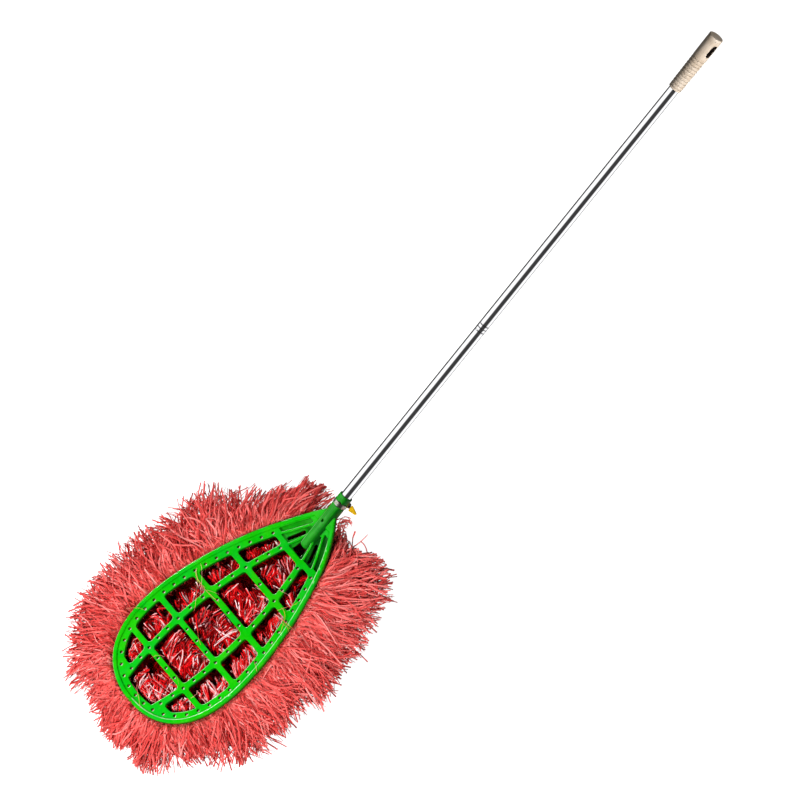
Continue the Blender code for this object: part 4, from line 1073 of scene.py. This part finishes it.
# the folded middles of the filaments, seen in the holes
def folds(points, gen):
    paths, widths, tones = [], [], []
    for p in points:
        count = 7
        turn = gen.uniform(0, math.pi) + gen.normal(0, 0.15, count)
        across = polar(turn)
        sideways = polar(turn + math.pi / 2)
        shift = np.linspace(-0.0013, 0.0013, count) + gen.normal(0, 0.0002, count)
        r = 0.0014 * np.sqrt(np.maximum(1 - (shift / 0.0019) ** 2, 0.1))
        mid = np.array([p.x + 0.0018, p.y + 0.0002, DECK_TOP - 0.0052]) + sideways * shift[:, None]
        t = (T * math.pi)[None, :, None]
        path = mid[:, None] + across[:, None] * r[:, None, None] * np.cos(t) + np.array([0, 0, 1.0]) * 0.0026 * np.sin(t)
        paths.append(path)
        widths.append(np.full(count, 0.0012))
        tones.append(gen.normal(0.86, 0.12, count).clip(0.4, 1))
    return np.concatenate(paths), np.concatenate(widths), np.concatenate(tones)


# painted highlight: the folds are painted pale pink, paler than the filaments
FOLD = filament("red_filament_folded", [(0.0, (0.42, 0.06, 0.07)), (0.5, (0.74, 0.34, 0.37)), (1.0, (0.90, 0.62, 0.64))], 0.35, (0.74, 0.34, 0.36))
path, width, tone = folds(all_points, rng)
strands("tuft_folds", path, width, tone, FOLD, rng, thick=0.8)

# loose fibres caught on top of the plate: each crosses a rib or the rim in a low arch just above it
STRAY = filament("stray_fibre", [(0.0, (0.72, 0.16, 0.05)), (0.5, (0.72, 0.24, 0.14)), (1.0, (0.80, 0.42, 0.36))], 0.45, (0.70, 0.26, 0.16))
CAUGHT = (
    ((-0.1184, 0.0520), (-0.0988, 0.0422), (-0.0732, 0.0385)),
    ((-0.0955, 0.0396), (-0.0621, 0.0380), (-0.0307, 0.0433)),
    ((-0.1133, 0.0453), (-0.0818, 0.0237), (-0.0529, -0.0067)),
    ((-0.0758, 0.0298), (-0.0591, 0.0410), (-0.0424, 0.0523)),
    ((-0.1180, 0.0640), (-0.0930, 0.0500), (-0.0640, 0.0180)),
    ((-0.0155, -0.0222), (-0.0022, -0.0325), (0.0174, -0.0423)),
    ((0.0720, 0.1193), (0.0802, 0.1397), (0.0930, 0.1620)),
    ((0.0768, 0.1182), (0.0992, 0.1143), (0.1261, 0.1121)),
    ((0.0759, 0.1323), (0.0955, 0.1225), (0.1161, 0.0958)),
    ((0.0866, 0.1133), (0.1051, 0.1204), (0.1335, 0.1198)),
    ((0.1130, 0.0215), (0.1305, 0.0176), (0.1470, 0.0130)),
    ((-0.1577, -0.1058), (-0.1410, -0.0945), (-0.1227, -0.0817)),
    ((-0.0127, -0.1935), (0.0101, -0.2030), (0.0330, -0.2154)),
    ((0.0285, -0.1179), (0.0397, -0.1213), (0.0512, -0.1274)),
    ((0.0416, 0.1509), (0.0508, 0.1545), (0.0616, 0.1595)),
    ((-0.0355, -0.1330), (-0.0299, -0.1212), (-0.0193, -0.1132)),
    ((0.0904, -0.1229), (0.0914, -0.1129), (0.0892, -0.1032)),
)
LIP_INNER = inset(LIP_WIDTH + 0.004)


def over_lip(x, y):
    return not (LIP_INNER[0].y < y < 0.30 and abs(x) < x_at(LIP_INNER, y))


paths = []
for number, pts in enumerate(CAUGHT):
    for copy in range(2 if number in (1, 7) else 1):
        q = [Vector((x, y)) + Vector(rng.normal(0, 0.0015, 2)) * (1 + copy) for x, y in pts]
        line = []
        for t in T.tolist():
            flat = (1 - t) ** 2 * q[0] + 2 * t * (1 - t) * (2 * q[1] - (q[0] + q[2]) / 2) + t * t * q[2]
            height = (LIP_TOP if over_lip(flat.x, flat.y) else DECK_TOP) + 0.0012
            line.append((flat.x, flat.y, height + 0.004 * math.sin(math.pi * t)))
        paths.append(line)
path = np.array(paths)
strands("caught_fibres", path, np.full(len(path), 0.0010), rng.uniform(0.0, 0.8, len(path)), STRAY, rng, thick=0.5)


# ---------------------------------------------------------------- handle
def tube_profile(low, high, grooves):
    outside, inside = [], []
    thin = TUBE_R - TUBE_WALL
    for at in sorted(grooves, reverse=True):
        for d, deep in ((0.0013, 0.0), (0.0008, 0.00025), (0.0004, 0.0006), (0.0, 0.0007), (-0.0004, 0.0006), (-0.0008, 0.00025), (-0.0013, 0.0)):
            outside.append((TUBE_R - deep, at + d))
            inside.append((thin - deep, at + d))
    rim = 0.00015
    outside = [(TUBE_R - rim, high), (TUBE_R, high - rim)] + outside + [(TUBE_R, low + rim), (TUBE_R - rim, low)]
    inside = [(thin + rim, low), (thin, low + rim)] + inside[::-1] + [(thin, high - rim), (thin + rim, high)]
    return outside + inside


for name, (low, high), grooves, body in (
    ("lower_tube_polished", LOWER_TUBE, [LOWER_TUBE[1] - GROOVE_FROM_END], "lower_handle"),
    ("upper_tube_polished", UPPER_TUBE, [UPPER_TUBE[0] + GROOVE_FROM_END], "upper_handle"),
):
    tube = turned(name, tube_profile(low, high, grooves), 96, closed=True)
    if name.startswith("lower"):
        drilled = turned("drilled", [(0, 0.020), (SCREW_HOLE_R, 0.020), (SCREW_HOLE_R, 0.006), (0, 0.006)], 32)
        drilled.data.transform(Matrix.Translation((0, 0, SCREW_HOLE_S)) @ Matrix.Diagonal((1, 1, 1.5, 1)) @ Matrix.Rotation(math.pi / 2, 4, "X") @ Matrix.Rotation(math.pi / 32, 4, "Z"))
        cut(tube, drilled)
    spot = np.empty(len(tube.data.vertices) * 3)
    tube.data.vertices.foreach_get("co", spot)
    spot = spot.reshape(-1, 3)
    # painted shade: inside the tube and in the groove bottoms
    mark(tube.data, recess=(np.hypot(spot[:, 0], spot[:, 1]) < TUBE_R - 0.0002).astype(float))
    tube.data.transform(HANDLE)
    ready(tube, body, CHROME, [name.replace("_polished", "")], 50)

collar_r = TUBE_R + 0.0003
collar = turned("joint_collar_moulded", [(collar_r - 0.0003, COLLAR[1]), (collar_r, COLLAR[1] - 0.0003), (collar_r, COLLAR[0] + 0.0003), (collar_r - 0.0003, COLLAR[0]), (0.0066, COLLAR[0]), (0.0066, COLLAR[1])], 96, closed=True)
collar.data.transform(HANDLE)
ready(collar, "collar", BLACK, ["joint_collar"], 50)

# ---------------------------------------------------------------- grip
length = GRIP[1] - GRIP[0]


def grip_r(s):
    return GRIP_R[0] + (GRIP_R[1] - GRIP_R[0]) * (s - GRIP[0]) / length


side = [(grip_r(GRIP[0]) - 0.0009, GRIP[0]), (grip_r(GRIP[0]) - 0.0003, GRIP[0] + 0.0004), (grip_r(GRIP[0]), GRIP[0] + 0.0012)]
for ring in range(GRIP_RINGS):
    s = GRIP[0] + 0.005 + GRIP_RING_PITCH * ring
    for d, deep in ((-0.0019, 0.0), (-0.0011, 0.0003), (-0.0005, 0.0008), (0.0, 0.00095), (0.0005, 0.0008), (0.0011, 0.0003), (0.0019, 0.0)):
        side.append((grip_r(s + d) - deep, s + d))
    side.append((grip_r(s + 0.0037) + 0.00022, s + 0.0037))
for k in range(7):
    a = math.radians(15 * k)
    side.append((GRIP_R[1] - 0.0016 + 0.0016 * math.cos(a), GRIP[1] - 0.0016 + 0.0016 * math.sin(a)))
hole_r = TUBE_R + 0.0003
grip = turned("grip_moulded", [(0, GRIP[1])] + side[::-1] + [(hole_r + 0.0006, GRIP[0]), (hole_r, GRIP[0] + 0.0006), (hole_r, GRIP_BORE_TOP), (0, GRIP_BORE_TOP)], 96)
half = (SLOT_LENGTH - SLOT_WIDTH) / 2
slot_cutter = slab("slot_cutter", [stadium((SLOT_CENTRE - half, 0), (SLOT_CENTRE + half, 0), SLOT_WIDTH, 24)], [], -0.030, 0.030)
work = bmesh.new()
work.from_mesh(slot_cutter.data)
for level in np.arange(-0.0136, 0.0137, 0.0017):
    bmesh.ops.bisect_plane(work, geom=work.verts[:] + work.edges[:] + work.faces[:], dist=1e-6, plane_co=(0, 0, level), plane_no=(0, 0, 1))
work.to_mesh(slot_cutter.data)
work.free()
slot_cutter.data.transform(Matrix.Rotation(math.radians(SLOT_ANGLE), 4, "Z") @ Matrix(((0, 1, 0, 0), (0, 0, 1, 0), (1, 0, 0, 0), (0, 0, 0, 1))))
cut(grip, slot_cutter)
soften = grip.modifiers.new("edges", "BEVEL")
soften.width, soften.segments, soften.limit_method, soften.angle_limit = 0.0007, 3, "ANGLE", math.radians(55)
soften.use_clamp_overlap = True
baked(grip)
spot = np.empty(len(grip.data.vertices) * 3)
grip.data.vertices.foreach_get("co", spot)
spot = spot.reshape(-1, 3)
full = GRIP_R[0] + (GRIP_R[1] - GRIP_R[0]) * (spot[:, 2] - GRIP[0]) / length
deep = full - np.hypot(spot[:, 0], spot[:, 1])
in_slot = (deep > 0.0002) & (np.abs(spot[:, 2] - SLOT_CENTRE) < 0.018)
in_groove = (deep > 0.0006) & (deep < 0.0014) & (spot[:, 2] < GRIP[0] + 0.090)
# painted shade: the slot's inside near black, the ring grooves darker
mark(grip.data, recess=np.where(in_slot, 1.0, np.where(in_groove, 0.30, 0.0)))
grip.data.transform(HANDLE)
ready(grip, "upper_handle", BEIGE, ["grip"], 42)

# ---------------------------------------------------------------- clamp
band = turned("band_strip", [(BAND_R + BAND_THICK, BAND_WIDTH / 2 - 0.0002), (BAND_R + BAND_THICK - 0.0002, BAND_WIDTH / 2), (BAND_R, BAND_WIDTH / 2), (BAND_R, -BAND_WIDTH / 2), (BAND_R + BAND_THICK - 0.0002, -BAND_WIDTH / 2), (BAND_R + BAND_THICK, -BAND_WIDTH / 2 + 0.0002)], 144, closed=True)
# the strip's screw slots, over the quarter that faces away from the housing's tail
notches = []
for k in range(15):
    n = block("notch", (0.0011, 0.0040, 0.0052), (0, -BAND_R - BAND_THICK, 0), 0.0, 1)
    n.data.transform(Matrix.Rotation(math.radians(-152 + 9.5 * k), 4, "Z") @ Matrix.Rotation(math.radians(8), 4, "Y"))
    notches.append(n)
cut(band, join("notches", notches))
band.data.transform(HANDLE @ Matrix.Translation((0, 0, CLAMP_S)))
ready(band, "head", PLATED, ["clamp_band"], 40)
band.name = "clamp_band_slotted"

shell = block("housing", (HOUSING[2], HOUSING[1], HOUSING[0]), (0.0002, 0, 0.0015), 0.0022, 4)
bore = turned("way", [(0, 0.016), (0.0038, 0.016), (0.0038, -0.012), (0, -0.012)], 48)
cut(shell, bore)
saddle = turned("saddle", [(0, 0.02), (BAND_R + BAND_THICK + 0.0003, 0.02), (BAND_R + BAND_THICK + 0.0003, -0.02), (0, -0.02)], 96)
saddle.data.transform(Matrix.Translation((-SCREW_OFFSET, 0, 0)) @ Matrix.Rotation(math.pi / 2, 4, "X"))
cut(shell, saddle)
shell.data.transform(CLAMP)
shell.name = "clamp_housing_pressed"
ready(shell, "head", PLATED, ["clamp_housing"], 35)

# the worm: a thread wound round its core, and a hexagon head that carries the key
core = turned("core", [(0, 0.0090), (0.0027, 0.0090), (0.0027, -0.0064), (0.0019, -0.0074), (0, -0.0074)], 48)
wound = bpy.data.curves.new("thread", "CURVE")
wound.dimensions = "3D"
wound.bevel_depth, wound.bevel_resolution, wound.use_fill_caps = 0.00062, 1, True
turns, pitch = 7, 0.0019
line = wound.splines.new("POLY")
line.points.add(turns * 20)
for k, point in enumerate(line.points):
    a = math.tau * k / 20
    point.co = (0.00275 * math.cos(a), 0.00275 * math.sin(a), -0.0056 + pitch * k / 20, 1)
thread = bpy.data.objects.new("thread", wound)
scene.collection.objects.link(thread)
head_screw = turned("hexagon", [(0, 0.0118), (HEAD_R - 0.0006, 0.0118), (HEAD_R, 0.0113), (HEAD_R, 0.0093), (0, 0.0093)], 6)
worm = join("clamp_worm_threaded", [core, thread, head_screw])
worm.data.transform(CLAMP)
ready(worm, "clamp_key", PLATED, ["clamp_worm_screw"], 35)

b, t, far = KEY_BASE / 2, KEY_TIP / 2, KEY_START + KEY_LENGTH
key_outline = rounded([(-b, KEY_START + 0.0002), (b, KEY_START + 0.0002), (b, KEY_START + 0.003), (t, far), (-t, far), (-b, KEY_START + 0.003)], 0.0018, 8)
key_inner = rounded([(-b + 0.003, KEY_START + 0.0035), (b - 0.003, KEY_START + 0.0035), (t - 0.0006, far - 0.004), (-t + 0.0006, far - 0.004)], 0.0012, 6)
key = slab("key", [key_outline], [key_inner], -KEY_THICK / 2, KEY_THICK / 2, 0.0005, 3)
web = slab("web", [[(x * 0.93, KEY_START + 0.0110 + (y - KEY_START - 0.0110) * 0.95) for x, y in key_outline]], [], -KEY_THICK / 2 + 0.0005, KEY_THICK / 2 - 0.0005, 0.0)
key = join("clamp_thumb_key_moulded", [key, web])
key.data.transform(Matrix(((0, 0, 1, 0), (1, 0, 0, 0), (0, 1, 0, 0), (0, 0, 0, 1))))
key.data.transform(CLAMP)
ready(key, "clamp_key", YELLOW, ["clamp_thumb_key"], 40)

# CAD nodes that stay get the moulded black finish
for node in ("joint_socket_insert", "joint_threaded_plug", "tube_foot_plug"):
    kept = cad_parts[node]
    kept.data.materials.clear()
    kept.data.materials.append(BLACK)

# ---------------------------------------------------------------- floor, light and camera
bpy.ops.mesh.primitive_plane_add(size=160, location=(0, 0, 0))
ground = bpy.context.active_object
ground.name = "pale_floor"
floor_look = Look("pale_floor", 0.85, Specular_IOR_Level=0.15)
floor_look.colour(floor_look.ramp(floor_look.noise(3.0, 3, 0.5), [(0.3, (0.50, 0.50, 0.50)), (0.7, (0.54, 0.54, 0.54))]))
floor_look.p.inputs["Emission Color"].default_value = (1, 1, 1, 1)
floor_look.p.inputs["Emission Strength"].default_value = 0.93
ground.data.materials.append(floor_look.m)
ground.visible_glossy = ground.visible_diffuse = False

# the studio: a dim pale surround, a low bright panel on the left, and a lit tent along the handle with an
# unlit gap in it, which polished tube picks up as its dark band
world = bpy.data.worlds.new("studio")
scene.world = world
world.use_nodes = True
tree = world.node_tree
back = tree.nodes["Background"]
direction = tree.nodes.new("ShaderNodeTexCoord").outputs["Generated"]


def towards_axis(axis):
    n = tree.nodes.new("ShaderNodeVectorMath")
    n.operation = "DOT_PRODUCT"
    n.inputs[1].default_value = axis
    tree.links.new(direction, n.inputs[0])
    return n.outputs["Value"]


def shade(value, stops, low=-1.0, high=1.0):
    span = tree.nodes.new("ShaderNodeMapRange")
    span.inputs["From Min"].default_value, span.inputs["From Max"].default_value = low, high
    tree.links.new(value, span.inputs["Value"])
    ramp = tree.nodes.new("ShaderNodeValToRGB")
    e = ramp.color_ramp.elements
    while len(e) < len(stops):
        e.new(0.5)
    for k, (at, level) in zip(e, stops):
        k.position = (at - low) / (high - low)
        k.color = (level, level, level, 1)
    tree.links.new(span.outputs[0], ramp.inputs[0])
    return ramp.outputs[0]


def blended(share, a, b):
    n = tree.nodes.new("ShaderNodeMix")
    n.data_type = "RGBA"
    tree.links.new(share, n.inputs[0])
    tree.links.new(a, n.inputs[6])
    if isinstance(b, tuple):
        n.inputs[7].default_value = b
    else:
        tree.links.new(b, n.inputs[7])
    return n.outputs[2]


one = Vector((0.4765, -0.301, 0.826))
two = ALONG.cross(one)
turn = tree.nodes.new("ShaderNodeMath")
turn.operation = "ARCTAN2"
tree.links.new(towards_axis(two), turn.inputs[0])
tree.links.new(towards_axis(one), turn.inputs[1])
tent = [(-180, 0.03), (-108, 0.03), (-94, 1.20), (-70, 1.30), (-27, 1.20), (-15, 0.10), (-4, 0.052), (48, 0.052), (56, 0.11), (66, 1.20), (118, 1.25), (130, 0.36), (180, 0.24)]
tent = shade(turn.outputs[0], [(math.radians(a), v) for a, v in tent], -math.pi, math.pi)
in_tent = shade(towards_axis(ALONG), [(-0.62, 0.0), (-0.50, 1.0), (-0.20, 1.0), (-0.08, 0.0)])
# the tent only shows in reflections; it adds no light of its own
seen = tree.nodes.new("ShaderNodeMath")
seen.operation = "MULTIPLY"
tree.links.new(in_tent, seen.inputs[0])
tree.links.new(tree.nodes.new("ShaderNodeLightPath").outputs["Is Glossy Ray"], seen.inputs[1])
dome = shade(towards_axis(Vector((0, 0, 1))), [(-0.2, 0.055), (0.3, 0.070), (1.0, 0.090)])
panel = shade(towards_axis(Vector((-0.94, -0.05, 0.30)).normalized()), [(0.86, 0.0), (0.95, 1.0)])
tree.links.new(blended(seen.outputs[0], blended(panel, dome, (0.38, 0.38, 0.38, 1)), tent), back.inputs["Color"])
back.inputs["Strength"].default_value = 1.0


def lamp(name, where, at, size, power, spread=180):
    data = bpy.data.lights.new(name, "AREA")
    data.shape = "SQUARE"
    data.size = size
    data.energy = power
    data.spread = math.radians(spread)
    made = bpy.data.objects.new(name, data)
    scene.collection.objects.link(made)
    made.location = where
    made.rotation_euler = (Vector(at) - Vector(where)).to_track_quat("-Z", "Y").to_euler()
    return made


lamp("key_light", (-2.60, -0.75, 2.75), (0, -0.74, 0.1), 0.45, 3.75, 40)
lamp("fill_light", (0.9, -2.8, 2.9), (0, -0.7, 0.1), 0.9, 7.2, 40).visible_glossy = False
lamp("side_light", (3.1, 0.2, 2.3), (0, -0.62, 0.1), 0.9, 3.3, 40).visible_glossy = False
lamp("kicker_light", (-3.4, -0.4, 1.25), (0, -0.6, 0.1), 0.6, 0.9, 40)
lamp("grip_light", (2.70, 1.15, 1.55), (0, 0.90, 0.59), 0.5, 4.9, 34)

lens = bpy.data.cameras.new("camera")
lens.lens = 1000
lens.sensor_width = 36
lens.clip_start, lens.clip_end = 1, 500
camera = bpy.data.objects.new("camera", lens)
scene.collection.objects.link(camera)
right, up, towards = Vector((0.57968, 0.74478, -0.33058)), Vector((-0.6821, 0.66546, 0.30316)), Vector((0.44577, 0.04975, 0.89376))
pose = Matrix((right, up, towards)).transposed().to_4x4()
pose.translation = Vector((19.69907, 2.78902, 39.701)) + Vector((0, PLATE_Y, PLATE_HEIGHT))
camera.matrix_world = pose
scene.camera = camera
scene.view_settings.view_transform = "Standard"
